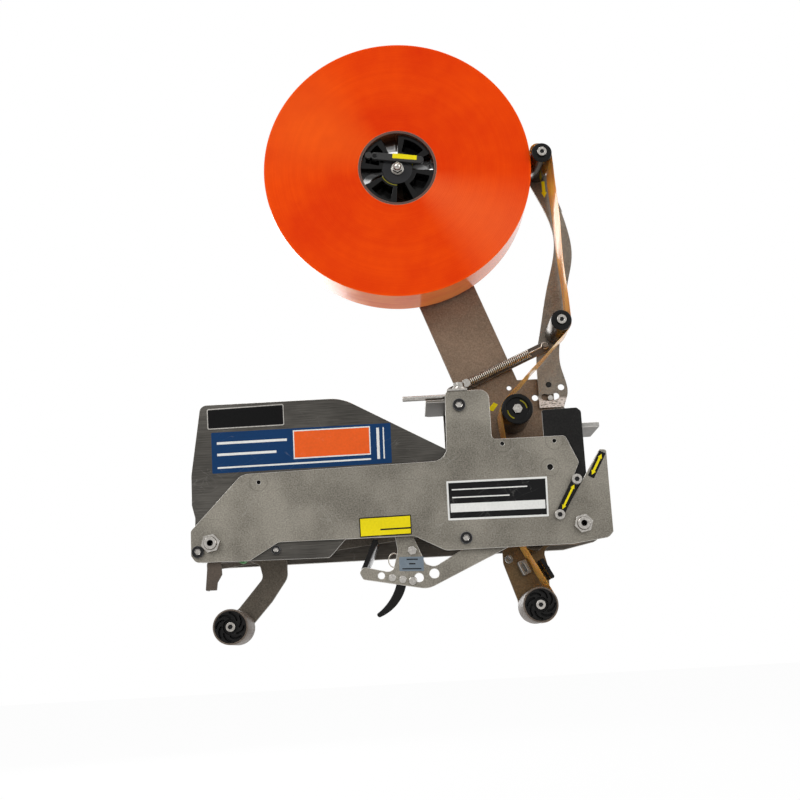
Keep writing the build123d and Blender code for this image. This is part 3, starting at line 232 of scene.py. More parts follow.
floor_half = 6.0
floor_mesh = bpy.data.meshes.new("floor")
floor_mesh.from_pydata(
    [(-floor_half, -floor_half, floor_z), (floor_half, -floor_half, floor_z),
     (floor_half, floor_half, floor_z), (-floor_half, floor_half, floor_z)],
    [],
    [(0, 1, 2, 3)],
)
floor = bpy.data.objects.new("floor", floor_mesh)
bpy.context.scene.collection.objects.link(floor)
floor_finish = bpy.data.materials.new("floor")
floor_finish.use_nodes = True
floor_tree = floor_finish.node_tree
floor_shader = floor_tree.nodes["Principled BSDF"]
floor_shader.inputs["Base Color"].default_value = (0.93, 0.93, 0.93, 1.0)
floor_shader.inputs["Roughness"].default_value = 0.9
floor_glow = put(floor_tree, "ShaderNodeEmission")
floor_rays = put(floor_tree, "ShaderNodeLightPath")
floor_mix = put(floor_tree, "ShaderNodeMixShader")
plain_share = maths(floor_tree, "MULTIPLY", floor_rays.outputs["Is Camera Ray"], floor_white)
feed(floor_tree, floor_mix.inputs[0], plain_share)
floor_tree.links.new(floor_shader.outputs["BSDF"], floor_mix.inputs[1])
floor_tree.links.new(floor_glow.outputs["Emission"], floor_mix.inputs[2])
floor_tree.links.new(floor_mix.outputs["Shader"], floor_tree.nodes["Material Output"].inputs["Surface"])
floor_mesh.materials.append(floor_finish)
bpy.context.scene.view_settings.view_transform = "Standard"
print("lamps:", len(bpy.data.lights))

# %% [markdown]
# ## Effects that several finishes share
# Blasted steel, brushed steel, moulded plastic and rubber all have a grain, only stretched
# differently, so one group makes it: Object coordinates, turned about the depth axis, stretched,
# and read by a noise. Because the pattern is laid in the object's own space, it stays on the piece
# when an arm swings.

# %% Grain group
def shader_group(name, inputs, outputs):
    """An empty shader group with named sockets; returns the tree, its inputs and its outputs."""
    tree = bpy.data.node_groups.new(name, "ShaderNodeTree")
    for label, kind, value in inputs:
        socket = tree.interface.new_socket(name=label, in_out="INPUT", socket_type=kind)
        socket.default_value = value
    for label, kind in outputs:
        tree.interface.new_socket(name=label, in_out="OUTPUT", socket_type=kind)
    return tree, put(tree, "NodeGroupInput").outputs, put(tree, "NodeGroupOutput").inputs


def use_group(tree, group, **values):
    """A group placed in a tree, with its own values; underscores in the names stand for spaces."""
    node = put(tree, "ShaderNodeGroup", node_tree=group)
    for name, value in values.items():
        feed(tree, node.inputs[name.replace("_", " ")], value)
    return node.outputs


grain_group, given, result = shader_group(
    "grain",
    [("Stretch", "NodeSocketVector", even(900.0)), ("Turn", "NodeSocketFloat", 0.0),
     ("Low", "NodeSocketFloat", 0.3), ("High", "NodeSocketFloat", 0.7),
     ("Detail", "NodeSocketFloat", 3.0)],
    [("Mask", "NodeSocketFloat")],
)
place = put(grain_group, "ShaderNodeTexCoord")
turned = put(grain_group, "ShaderNodeVectorRotate", rotation_type="Y_AXIS")
grain_group.links.new(place.outputs["Object"], turned.inputs["Vector"])
grain_group.links.new(given["Turn"], turned.inputs["Angle"])
stretched = put(grain_group, "ShaderNodeVectorMath", operation="MULTIPLY")
grain_group.links.new(turned.outputs["Vector"], stretched.inputs[0])
grain_group.links.new(given["Stretch"], stretched.inputs[1])
noise = put(grain_group, "ShaderNodeTexNoise")
noise.inputs["Scale"].default_value = 1.0
grain_group.links.new(stretched.outputs["Vector"], noise.inputs["Vector"])
grain_group.links.new(given["Detail"], noise.inputs["Detail"])
feed(grain_group, result["Mask"], span(grain_group, noise.outputs["Fac"], given["Low"], given["High"]))
print("grain nodes:", len(grain_group.nodes))

# %% [markdown]
# Sheet metal that has been handled for years shows fine scratches. A noise stretched along one
# direction has level lines that run like scratches, so the group keeps only a hair's width round
# one level, and a second, coarser noise leaves whole areas clean.

# %% Scuff group
scuff_group, given, result = shader_group(
    "scuffs",
    [("Stretch", "NodeSocketVector", (14.0, 14.0, 90.0)), ("Turn", "NodeSocketFloat", 0.5),
     ("Hair", "NodeSocketFloat", 0.006), ("Cover", "NodeSocketFloat", 0.52)],
    [("Mask", "NodeSocketFloat")],
)
lines = use_group(scuff_group, grain_group, Stretch=given["Stretch"], Turn=given["Turn"],
                  Low=0.0, High=1.0, Detail=2.0)
off_level = maths(scuff_group, "ABSOLUTE", maths(scuff_group, "SUBTRACT", lines["Mask"], 0.5))
hair_line = span(scuff_group, off_level, 0.0, given["Hair"], 1.0, 0.0)
patches = use_group(scuff_group, grain_group, Stretch=even(38.0), Low=0.0, High=1.0, Detail=2.0)
full_cover = maths(scuff_group, "ADD", given["Cover"], 0.06)
worn_area = span(scuff_group, patches["Mask"], given["Cover"], full_cover)
feed(scuff_group, result["Mask"], maths(scuff_group, "MULTIPLY", hair_line, worn_area))
print("scuff nodes:", len(scuff_group.nodes))

# %% [markdown]
# Rolls, rollers and the worn rings round bolt holes are all laid out round an axis that runs from
# front to back. One group gives the distance from such an axis and the bearing round it, and
# another draws a soft ring at a distance.

# %% Axis and ring groups
axis_group, given, result = shader_group(
    "from_axis",
    [("Centre X", "NodeSocketFloat", 0.0), ("Centre Z", "NodeSocketFloat", 0.0)],
    [("Reach", "NodeSocketFloat"), ("Bearing", "NodeSocketFloat")],
)
place = put(axis_group, "ShaderNodeTexCoord")
parts = put(axis_group, "ShaderNodeSeparateXYZ")
axis_group.links.new(place.outputs["Object"], parts.inputs["Vector"])
across = maths(axis_group, "SUBTRACT", parts.outputs["X"], given["Centre X"])
above = maths(axis_group, "SUBTRACT", parts.outputs["Z"], given["Centre Z"])
squares = maths(axis_group, "ADD", maths(axis_group, "MULTIPLY", across, across),
                maths(axis_group, "MULTIPLY", above, above))
feed(axis_group, result["Reach"], maths(axis_group, "SQRT", squares))
feed(axis_group, result["Bearing"], maths(axis_group, "ARCTAN2", above, across))

ring_group, given, result = shader_group(
    "worn_ring",
    [("Centre X", "NodeSocketFloat", 0.0), ("Centre Z", "NodeSocketFloat", 0.0),
     ("Radius", "NodeSocketFloat", 0.009), ("Width", "NodeSocketFloat", 0.0012)],
    [("Mask", "NodeSocketFloat")],
)
axis = use_group(ring_group, axis_group, Centre_X=given["Centre X"], Centre_Z=given["Centre Z"])
off_ring = maths(ring_group, "ABSOLUTE", maths(ring_group, "SUBTRACT", axis["Reach"], given["Radius"]))
feed(ring_group, result["Mask"], span(ring_group, off_ring, 0.0, given["Width"], 1.0, 0.0))


def round_axis(axis):
    """The centre values that both groups take, for an axis at (x, z) in mm."""
    return {"Centre_X": axis[0] * MM, "Centre_Z": axis[1] * MM}


print("groups:", [group.name for group in bpy.data.node_groups])

# %% [markdown]
# Most finishes are then one recipe with other numbers: a grain and a coarser cloud are mixed into a
# tone, the tone moves the colour and the roughness, and the grain alone lifts the surface. What is
# the same all over a surface, such as its metalness or coat, is set straight on the shader.

# %% Surface recipe
def surface(name, dark, light, stretch, rough, lift, cloud=22.0, cloud_share=0.4, scuffs=0.0,
            **shader_values):
    """A material from the shared groups, with its tree, shader and colour for further layers."""
    material = bpy.data.materials.new(name)
    material.use_nodes = True
    tree = material.node_tree
    shader = tree.nodes["Principled BSDF"]
    for label, value in shader_values.items():
        shader.inputs[label.replace("_", " ")].default_value = value
    grain = use_group(tree, grain_group, Stretch=stretch)["Mask"]
    clouds = use_group(tree, grain_group, Stretch=even(cloud), Low=0.35, High=0.65)["Mask"]
    tone = maths(tree, "ADD", maths(tree, "MULTIPLY", grain, 1.0 - cloud_share),
                 maths(tree, "MULTIPLY", clouds, cloud_share))
    colour = mixed(tree, tone, dark, light)
    roughness = span(tree, tone, 0.0, 1.0, rough[0], rough[1])
    if scuffs > 0.0:
        marks = use_group(tree, scuff_group)["Mask"]
        cross_marks = use_group(tree, scuff_group, Turn=-0.9, Cover=0.55)["Mask"]
        worn = maths(tree, "MULTIPLY", maths(tree, "MAXIMUM", marks, cross_marks), scuffs)
        colour = mixed(tree, worn, colour, paint(225, 222, 216))
    feed(tree, shader.inputs["Base Color"], colour)
    feed(tree, shader.inputs["Roughness"], roughness)
    bump = put(tree, "ShaderNodeBump")
    bump.inputs["Distance"].default_value = lift * MM
    feed(tree, bump.inputs["Height"], grain)
    feed(tree, shader.inputs["Normal"], bump.outputs["Normal"])
    return {"material": material, "tree": tree, "shader": shader, "colour": colour, "bump": bump}


def lined(finish, mask, colour):
    """Lays a further colour over a finish where the mask is 1."""
    finish["colour"] = mixed(finish["tree"], mask, finish["colour"], colour)
    feed(finish["tree"], finish["shader"].inputs["Base Color"], finish["colour"])
    return finish


print("surface recipe ready")

# %% [markdown]
# ## The finishes
# The side plates are bead-blasted stainless steel: a fine speckle, a soft cloudiness and a few
# scratches. Where a washer has turned on the plate, it left a dark ring, so four rings are laid
# over the front plate's finish. The cover is dark and brushed from left to right, so its grain is
# long in X and short in Z.

# %% Plate finishes
blasted_plate = surface("blasted_plate", paint(90, 86, 78), paint(152, 147, 136), even(760.0),
                        (0.4, 0.58), 0.02, scuffs=0.10, Metallic=0.85)
for hole in plate_rods + ((151.6, 56.6),):
    ring = use_group(blasted_plate["tree"], ring_group, Radius=8.6 * MM, Width=0.9 * MM, **round_axis(hole))
    lined(blasted_plate, maths(blasted_plate["tree"], "MULTIPLY", ring["Mask"], 0.3), paint(66, 63, 57))
brushed_cover = surface("brushed_cover", paint(52, 50, 47), paint(92, 89, 84), (40.0, 900.0, 1500.0),
                        (0.34, 0.5), 0.012, scuffs=0.06, Metallic=0.9)
rear_steel = surface("rear_steel", paint(74, 70, 64), paint(118, 112, 104), (60.0, 900.0, 1200.0),
                     (0.38, 0.55), 0.012, scuffs=0.08, Metallic=0.85)
ground_edge = surface("ground_edge", paint(196, 192, 186), paint(226, 223, 217), (60.0, 900.0, 900.0),
                      (0.25, 0.4), 0.004, Metallic=0.9)
dull_edge = surface("dull_edge", paint(120, 117, 112), paint(158, 154, 148), (60.0, 900.0, 900.0),
                    (0.3, 0.45), 0.004, Metallic=0.9)
print("materials:", len(bpy.data.materials))

# %% [markdown]
# The arms are cut from the same kind of sheet but left warmer and duller, and the drum bracket
# carries a stippled brownish grey paint. Its grain is lumpier, with a stronger lift, so that the
# light breaks up on it.

# %% Arm and bracket finishes
def sheet_steel(name):
    """Cut sheet with its mill surface left on."""
    return surface(name, paint(92, 85, 76), paint(142, 133, 122), even(760.0),
                   (0.38, 0.52), 0.018, scuffs=0.08, Metallic=0.8)


mill_steel = sheet_steel("mill_steel")
warm_steel = surface("warm_steel", paint(84, 68, 48), paint(136, 110, 78), even(760.0),
                     (0.3, 0.46), 0.015, scuffs=0.06, Metallic=0.9)
stippled_paint = surface("stippled_paint", paint(92, 76, 62), paint(146, 124, 104), even(800.0),
                         (0.36, 0.52), 0.04, cloud=9.0, Metallic=0.75)
grey_stipple = surface("grey_stipple", paint(76, 70, 61), paint(124, 114, 101), even(760.0),
                       (0.42, 0.6), 0.045, cloud=12.0, Metallic=0.6)
cast_grey = surface("cast_grey", paint(120, 118, 114), paint(168, 166, 162), even(600.0),
                    (0.45, 0.6), 0.04, Metallic=0.6)
brown_steel = surface("brown_steel", paint(62, 54, 47), paint(98, 86, 75), (500.0, 900.0, 1500.0),
                      (0.35, 0.5), 0.02, Metallic=0.5)
bright_zinc = surface("bright_zinc", paint(140, 136, 130), paint(196, 192, 186), (500.0, 300.0, 500.0),
                      (0.14, 0.28), 0.004, Metallic=1.0)
black_oxide = surface("black_oxide", paint(10, 10, 11), paint(34, 33, 32), even(900.0),
                      (0.3, 0.45), 0.01, Metallic=0.6)
worn_black = surface("worn_black", paint(58, 58, 60), paint(112, 112, 114), even(700.0),
                     (0.3, 0.5), 0.01, Metallic=0.5)
guard_black = surface("guard_black", paint(12, 12, 12), paint(36, 35, 34), even(700.0),
                      (0.42, 0.6), 0.03, Specular_IOR_Level=0.12)
ground_blade = surface("ground_blade", paint(150, 150, 150), paint(215, 215, 215), (300.0, 2500.0, 300.0),
                       (0.18, 0.3), 0.004, Metallic=1.0)
drawn_wire = surface("drawn_wire", paint(158, 150, 138), paint(214, 207, 196), even(600.0),
                     (0.2, 0.32), 0.003, Metallic=1.0)
print("materials:", len(bpy.data.materials))

# %% [markdown]
# Rollers, drum and lever are moulded in black plastic with a satin gloss, the tyres are a warm dark
# rubber, and the bumper is green. The guide rollers carry a dark polished tube between black end
# caps.

# %% Plastic and rubber finishes
moulded_black = surface("moulded_black", paint(6, 6, 6), paint(22, 21, 20), even(420.0),
                        (0.2, 0.34), 0.008, Specular_IOR_Level=0.16)
drum_black = surface("drum_black", paint(3, 3, 3), paint(14, 13, 12), even(420.0),
                     (0.1, 0.22), 0.006, Specular_IOR_Level=0.2)
lever_grey = surface("lever_grey", paint(28, 28, 29), paint(56, 55, 54), even(700.0),
                     (0.3, 0.42), 0.01, Specular_IOR_Level=0.3)
dark_tube = surface("dark_tube", paint(46, 40, 34), paint(84, 75, 64), (900.0, 60.0, 900.0),
                    (0.2, 0.32), 0.004, Metallic=1.0)
tyre_rubber = surface("tyre_rubber", paint(74, 64, 55), paint(112, 100, 89), even(500.0),
                      (0.36, 0.5), 0.015, cloud=60.0, Specular_IOR_Level=0.35)
green_rubber = surface("green_rubber", paint(62, 118, 68), paint(92, 150, 92), even(600.0),
                       (0.5, 0.65), 0.02)
core_board = surface("core_board", paint(150, 126, 98), paint(196, 172, 142), (260.0, 1500.0, 260.0),
                     (0.7, 0.85), 0.03)
core_inside = surface("core_inside", paint(48, 26, 16), paint(92, 48, 26), (120.0, 900.0, 120.0),
                      (0.1, 0.2), 0.008, Coat_Weight=0.5, Coat_Roughness=0.08)
print("materials:", len(bpy.data.materials))

# %% [markdown]
# The drum's face has a greyer dish with a broken yellow ring round it. The tension roller's dish
# carries two short yellow arcs, which are laid into a black of its own, and the lower end of the
# follower arm is laid over with a frosty white in streaks under its slot.

# %% Marked finishes
tree = drum_black["tree"]
axis = use_group(tree, axis_group, **round_axis(roll_axis))
dish = span(tree, axis["Reach"], 15.4 * MM, 15.8 * MM, 1.0, 0.0)
lined(drum_black, maths(tree, "MULTIPLY", dish, 0.9), paint(38, 38, 40))
ring = use_group(tree, ring_group, Radius=17.6 * MM, Width=0.7 * MM, **round_axis(roll_axis))
ring_gaps = maths(tree, "SINE", maths(tree, "MULTIPLY", axis["Bearing"], 2.0))
broken_ring = maths(tree, "MULTIPLY", ring["Mask"], span(tree, ring_gaps, -0.1, 0.1))
lined(drum_black, maths(tree, "MULTIPLY", broken_ring, 0.6), paint(170, 160, 20))

tension_black = surface("tension_black", paint(5, 5, 5), paint(18, 18, 17), even(420.0),
                        (0.12, 0.24), 0.006, Specular_IOR_Level=0.16)
tree = tension_black["tree"]
axis = use_group(tree, axis_group, **round_axis(tension))
arc_band = use_group(tree, ring_group, Radius=9.6 * MM, Width=0.9 * MM, **round_axis(tension))
arc_turns = maths(tree, "ADD", maths(tree, "MULTIPLY", axis["Bearing"], 2.0), 0.3)
arc_spread = span(tree, maths(tree, "SINE", arc_turns), 0.35, 0.5)
arcs = maths(tree, "MULTIPLY", arc_band["Mask"], maths(tree, "MULTIPLY", arc_spread, 0.75))
lined(tension_black, arcs, paint(190, 178, 24))

arm_steel = sheet_steel("arm_steel")
tree = arm_steel["tree"]
# a frosty white laid in streaks over the follower arm's lower end
spot = put(tree, "ShaderNodeSeparateXYZ")
tree.links.new(put(tree, "ShaderNodeTexCoord").outputs["Object"], spot.inputs["Vector"])
low_end = span(tree, spot.outputs["Z"], 137.5 * MM, 140.0 * MM, 1.0, 0.0)
frosty_grain = use_group(tree, grain_group, Stretch=(420.0, 420.0, 900.0), Low=0.34, High=0.52)["Mask"]
frosty_end = maths(tree, "MULTIPLY", low_end, maths(tree, "MULTIPLY", frosty_grain, 0.85))
lined(arm_steel, frosty_end, paint(226, 214, 206))
print("materials:", len(bpy.data.materials))

# %% [markdown]
# The wound roll is a stack of film edges. Its face shows fine rings, because no two turns end at
# quite the same depth, and they come from a one-dimensional noise over the distance. Two wedges
# that run out from the axis like light on a record are a painted sheen: lighter orange, laid into
# the colour by the bearing round the axis, stands in for light on the film edges' tiny grooves.

# %% Wound film finish
roll_r = 139.0
wound_film = surface("wound_film", paint(216, 40, 0), paint(238, 70, 0), (70.0, 400.0, 70.0),
                     (0.34, 0.46), 0.004, cloud=12.0, cloud_share=0.7, Specular_IOR_Level=0.04)
tree = wound_film["tree"]
axis = use_group(tree, axis_group, **round_axis(roll_axis))


def ring_noise(scale, low, high):
    """Rings of uneven strength round the roll's axis."""
    rings = put(tree, "ShaderNodeTexNoise", noise_dimensions="1D")
    feed(tree, rings.inputs["W"], axis["Reach"])
    rings.inputs["Scale"].default_value = scale
    rings.inputs["Detail"].default_value = 2.0
    return span(tree, rings.outputs["Fac"], low, high)


fine_rings = ring_noise(2600.0, 0.35, 0.65)
broad_rings = ring_noise(160.0, 0.4, 0.6)
lined(wound_film, maths(tree, "MULTIPLY", fine_rings, 0.22), paint(255, 112, 38))
lined(wound_film, maths(tree, "MULTIPLY", broad_rings, 0.18), paint(222, 52, 4))


def painted_light_wedge(bearing, width):
    """A soft wedge of painted light that runs out from the axis at a bearing in degrees."""
    turn = maths(tree, "SUBTRACT", axis["Bearing"], math.radians(bearing))
    return span(tree, maths(tree, "COSINE", turn), math.cos(math.radians(width)), 1.0)


# painted highlight: the sheen wedges lighten the orange at fixed bearings round the axis
right_painted_sheen = maths(tree, "POWER", painted_light_wedge(-34.0, 30.0), 1.6)
ringed = maths(tree, "ADD", maths(tree, "MULTIPLY", fine_rings, 0.3), 0.22)
painted_sheen_with_rings = maths(tree, "MULTIPLY", right_painted_sheen, ringed)
lined(wound_film, maths(tree, "MULTIPLY", painted_sheen_with_rings, 0.8), paint(255, 128, 70))
left_painted_sheen = maths(tree, "POWER", painted_light_wedge(150.0, 38.0), 1.4)
lined(wound_film, maths(tree, "MULTIPLY", left_painted_sheen, 0.25), paint(255, 120, 40))
rim_share = span(tree, axis["Reach"], (roll_r - 2.2) * MM, (roll_r - 0.2) * MM)
lined(wound_film, maths(tree, "MULTIPLY", rim_share, 0.5), paint(255, 96, 8))
feed(tree, wound_film["bump"].inputs["Height"], fine_rings)
wound_film["bump"].inputs["Distance"].default_value = 0.012 * MM
print("roll nodes:", len(tree.nodes))

# %% [markdown]
# The rim of the roll and the free strands are the film seen flat on: clear amber with a hard gloss.
# Seen along its surface it turns pale and pinkish: a facing weight mixes that pale colour into the
# base colour, a painted reflection. The strands let some light through, so their alpha stays below
# 1 and varies a little with the folds.

# %% Film finishes
def amber_film(name, deep, pale, alpha=None, stretch=(20.0, 200.0, 20.0), **shader_values):
    """Glossy amber film whose colour is painted paler where it is seen along its surface, a painted
    reflection.
    """
    finish = surface(name, deep, pale, stretch, (0.1, 0.22), 0.02, cloud=26.0, cloud_share=0.6,
                     Specular_IOR_Level=0.3, **shader_values)
    film_tree = finish["tree"]
    # painted reflection: the colour pales towards a grazing view, mixed in by a facing weight
    facing = put(film_tree, "ShaderNodeLayerWeight")
    facing.inputs["Blend"].default_value = 0.35
    painted_grazing_paleness = maths(film_tree, "POWER", facing.outputs["Facing"], 2.0)
    lined(finish, maths(film_tree, "MULTIPLY", painted_grazing_paleness, 0.3), paint(250, 200, 170))
    if alpha is not None:
        streaks = use_group(film_tree, grain_group, Stretch=stretch, Low=0.3, High=0.7)["Mask"]
        streaky = span(film_tree, streaks, 0.0, 1.0, alpha[0], alpha[1])
        feed(film_tree, finish["shader"].inputs["Alpha"], streaky)
    return finish


roll_rim = amber_film("roll_rim", paint(222, 88, 10), paint(244, 134, 34))
clear_film = amber_film("clear_film", paint(252, 165, 20), paint(255, 208, 84), (0.92, 0.99),
                        Transmission_Weight=0.35, IOR=1.3)
print("materials:", len(bpy.data.materials))

# %% [markdown]
# Printed labels on a machine are thin plastic with a soft gloss. Six plain colours are enough, and
# the places keep only panels and rules, without words, names or signs.

# %% Label finishes
def print_ink(name, tone):
    """Printed label film: nearly one colour, faintly mottled."""
    darker = paint(*(level * 0.93 for level in tone))
    return surface(name, darker, paint(*tone), even(500.0), (0.28, 0.36), 0.003,
                   cloud=30.0, scuffs=0.06, Specular_IOR_Level=0.15)


ink_black = print_ink("ink_black", (12, 12, 13))
ink_white = print_ink("ink_white", (232, 232, 228))
ink_yellow = print_ink("ink_yellow", (240, 220, 20))
ink_blue = print_ink("ink_blue", (6, 52, 96))
ink_orange = print_ink("ink_orange", (236, 96, 34))
ink_steel = print_ink("ink_steel", (116, 128, 138))
gloss_plate = surface("gloss_plate", paint(2, 2, 2), paint(10, 10, 10), even(400.0),
                      (0.14, 0.2), 0.002, Specular_IOR_Level=0.12)
print("materials:", len(bpy.data.materials))

# %% [markdown]
# ## Dressing the cut and moulded pieces
# A laser-cut plate or a turned nut never has a perfectly sharp edge: a narrow chamfer catches the
# light. Each CAD mesh is loose triangles, so a copy is merged, and a Bevel modifier rounds every
# edge sharper than 35 degrees by a fraction of a millimetre. The new edge faces can take a second,
# brighter finish. A bevel can fold a slim triangle over or shoot out of the outline, so each copy
# is measured, and the next way is tried until one has no flaw: with its flat faces joined or as
# triangles, and with a narrower bevel. Flat faces are shaded flat, or the soft edges would streak
# across a large plate.

# %% Dressing helpers
body_rows = frame["record"]["behaviour"]["bodies"]
body_of_node = {node: body for body, nodes in body_rows.items() for node in nodes}
sharp_angle = math.radians(35.0)
merge_gap = 0.004 * MM
flat_angle = math.radians(0.5)
folded_over = -0.95


def placed(name, mesh):
    """A new object at the origin that shows the mesh."""
    piece = bpy.data.objects.new(name, mesh)
    bpy.context.scene.collection.objects.link(piece)
    return piece


def plain(piece):
    """Turns the object's modifiers into its own mesh and removes them."""
    bpy.context.view_layer.update()
    shown = piece.evaluated_get(bpy.context.evaluated_depsgraph_get())
    mesh = bpy.data.meshes.new_from_object(shown)
    piece.modifiers.clear()
    piece.data = mesh
    return piece


def joins(piece, node):
    """The piece stands for a CAD node, on its body."""
    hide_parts(node)
    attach(piece, body_of_node[node])
    return piece


def measured(mesh):
    """Volume and box of a closed mesh, and the area in square mm that is folded over."""
    work = bmesh.new()
    work.from_mesh(mesh)
    bmesh.ops.triangulate(work, faces=work.faces)
    volume = work.calc_volume()
    lows = [min(vertex.co[i] for vertex in work.verts) for i in range(3)]
    highs = [-max(vertex.co[i] for vertex in work.verts) for i in range(3)]
    folded = 0.0
    for line in work.edges:
        sides = line.link_faces
        if len(sides) == 2 and sides[0].normal.dot(sides[1].normal) < folded_over:
            folded += min(side.calc_area() for side in sides) / MM ** 2
    work.free()
    return volume, lows + highs, folded


def merged(node, join_flats):
    """A copy of a CAD node's mesh with its doubles merged and, if asked, its flat faces joined."""
    mesh = frame["nodes"][node].data.copy()
    work = bmesh.new()
    work.from_mesh(mesh)
    bmesh.ops.remove_doubles(work, verts=work.verts, dist=merge_gap)
    if join_flats:
        bmesh.ops.dissolve_limit(work, angle_limit=flat_angle, verts=work.verts, edges=work.edges)
    work.to_mesh(mesh)
    work.free()
    return mesh


def rounded(name, mesh, width, steps):
    """A piece with the mesh, its sharp edges rounded by a width in mm."""
    piece = placed(name, mesh)
    if width > 0.0:
        rounding = piece.modifiers.new("rounding", "BEVEL")
        rounding.width = width * MM
        rounding.segments = steps
        rounding.limit_method = "ANGLE"
        rounding.angle_limit = sharp_angle
        rounding.use_clamp_overlap = False
        rounding.material = 1
        plain(piece)
    return piece


bevel_steps = 2
most_change, most_spill, most_fold = 0.03, 0.01 * MM, 0.4
facing = 0.9999
bevel_tries = [(share, join_flats) for share in (1.0, 0.7, 0.45, 0.25) for join_flats in (True, False)]
bevel_tries.append((0.0, False))


def dressed(node, finish, edge, bevel):
    """A bevelled copy of a CAD node with a finish, and another one on its edges if given."""
    volume, box, _ = measured(merged(node, False))
    for share, join_flats in bevel_tries:
        mesh = merged(node, join_flats)
        mesh.materials.clear()
        mesh.materials.append(finish["material"])
        mesh.materials.append((edge or finish)["material"])
        for face in mesh.polygons:
            face.material_index = 0
        piece = rounded(node + "_dressed", mesh, bevel * share, bevel_steps)
        new_volume, new_box, folded = measured(piece.data)
        spill = max(old - new for old, new in zip(box, new_box))
        change = abs(new_volume / volume - 1.0)
        if share == 0.0 or (change < most_change and spill < most_spill and folded < most_fold):
            break
        bpy.data.objects.remove(piece)
    if share < 1.0:
        print("bevel of", node, "is", round(bevel * share, 3), "mm")
    piece.data.set_sharp_from_angle(angle=sharp_angle)
    for face in piece.data.polygons:
        if face.material_index == 0 and max(abs(part) for part in face.normal) > facing:
            face.use_smooth = False
    return joins(piece, node)


def repaint(piece, finish, test, disc=None):
    """Gives a finish to faces by a test of middle (in mm) and normal, and by a disc (x, z, radius)."""
    piece.data.materials.append(finish["material"])
    index = len(piece.data.materials) - 1
    points = piece.data.vertices

    def outside(i):
        return math.hypot(points[i].co.x / MM - disc[0], points[i].co.z / MM - disc[1]) > disc[2]

    for face in piece.data.polygons:
        if disc and any(outside(i) for i in face.vertices):
            continue
        if test(face.center / MM, face.normal):
            face.material_index = index


print("nodes to dress:", len(body_of_node))

# %% [markdown]
# Most pieces need nothing more than that, so one list names the node, its finish, the finish of its
# edges and the width of the bevel. Thin wire and film are left out here, because they are made anew
# further down.

# %% Dress the plain pieces
dress_list = (
    ("front_plate", blasted_plate, ground_edge, 0.35), ("cover_plate", brushed_cover, ground_edge, 0.35),
    ("rear_plate", rear_steel, ground_edge, 0.35), ("tie_rods", black_oxide, None, 0.3),
    ("pivot_shafts", bright_zinc, None, 0.5), ("pivot_nuts", bright_zinc, None, 0.3),
    ("plate_screws", black_oxide, worn_black, 0.35), ("rear_screws", bright_zinc, None, 0.4),
    ("top_tie_plate", rear_steel, ground_edge, 0.3), ("top_clip", bright_zinc, None, 0.3),
    ("hanger_rod", bright_zinc, None, 0.3), ("clip_bolt", bright_zinc, None, 0.3),
    ("tape_guard", guard_black, worn_black, 0.5), ("side_ledge", cast_grey, ground_edge, 0.4),
    ("drum_bracket", stippled_paint, dull_edge, 0.4), ("drum_spindle", bright_zinc, None, 0.4),
    ("spindle_nut", bright_zinc, None, 0.2), ("bracket_pins", bright_zinc, None, 0.3),
    ("box_hook", brown_steel, dull_edge, 0.3), ("arm_bumper", green_rubber, None, 0.4),
    ("knife_pins", bright_zinc, None, 0.3), ("tension_shaft", bright_zinc, None, 0.4),
    ("apply_arm", warm_steel, dull_edge, 0.35), ("apply_axles", bright_zinc, None, 0.3),
    ("finger_bracket", cast_grey, ground_edge, 0.3), ("tape_fingers", moulded_black, None, 0.3),
    ("buff_arm", grey_stipple, dull_edge, 0.35), ("buff_axle", bright_zinc, None, 0.3),
    ("link_bar", mill_steel, dull_edge, 0.3), ("knife_arm", blasted_plate, ground_edge, 0.35),
    ("knife_screws", bright_zinc, None, 0.3), ("knife_holder", moulded_black, None, 0.3),
    ("knife_blade", ground_blade, None, 0.1), ("knife_tail", moulded_black, None, 0.8),
    ("unwind_arm", arm_steel, ground_edge, 0.2), ("guide_axles", bright_zinc, None, 0.3),
    ("spring_bar", brown_steel, dull_edge, 0.3), ("wrap_roller", dark_tube, None, 0.4),
    ("apply_roller_body", moulded_black, None, 0.35), ("buff_roller_body", moulded_black, None, 0.35),
    ("apply_tyre", tyre_rubber, None, 0.6), ("buff_tyre", tyre_rubber, None, 0.6),
    ("guide_roller_1", moulded_black, None, 0.9), ("guide_roller_2", moulded_black, None, 0.9),
    ("tension_roller", tension_black, None, 0.5), ("tape_drum", drum_black, None, 0.6),
    ("tape_core", core_board, None, 0.2), ("lock_lever", lever_grey, None, 0.6),
    ("latch_bar", moulded_black, None, 0.35),
)
made = {node: dressed(node, finish, edge, bevel) for node, finish, edge, bevel in dress_list}
print("dressed:", len(made), "faces:", sum(len(piece.data.polygons) for piece in made.values()))

# %% [markdown]
# Some pieces show two finishes. The guide rollers have a dark metal tube behind their black end
# cap, the core's bore is coated paper that shines brown, the plate's cap screws are bright in the
# middle, and the latch bar's screws are chromed. The sockets of the other screws are dark: a
# painted shade, given as dark black oxide in their hollows. Each is picked out by where its faces lie.

# %% Second finishes by place
roller_front, roller_cap, roller_bearing_r = 20.0, 5.2, 9.0
core_bore_r = 38.6
socket_share = 0.62
screw_seats = ((67.1, 122.5, 6.2), (65.9, -7.7, 5.8), (-191.8, -7.5, 5.8), (-117.2, -9.2, 4.4))
latch_ends = ((156.98, 9.65), (176.08, 43.08))
# painted shade: the hollows of these sockets take a dark black oxide
shaded_sockets = (
    ("latch_bar", latch_ends, 6.2, 2.75), ("guide_axles", (guide_1, guide_2), 26.0, 2.5),
    ("apply_axles", (apply_roller,), 26.0, 2.7), ("buff_axle", (buff_roller,), 26.0, 2.7),
    ("pivot_shafts", (buff_pivot, apply_pivot), 6.0, 4.6),
)


def reach_from(x, z):
    """A test helper: distance of a face's middle from an axis at (x, z)."""
    return lambda middle: math.hypot(middle.x - x, middle.z - z)


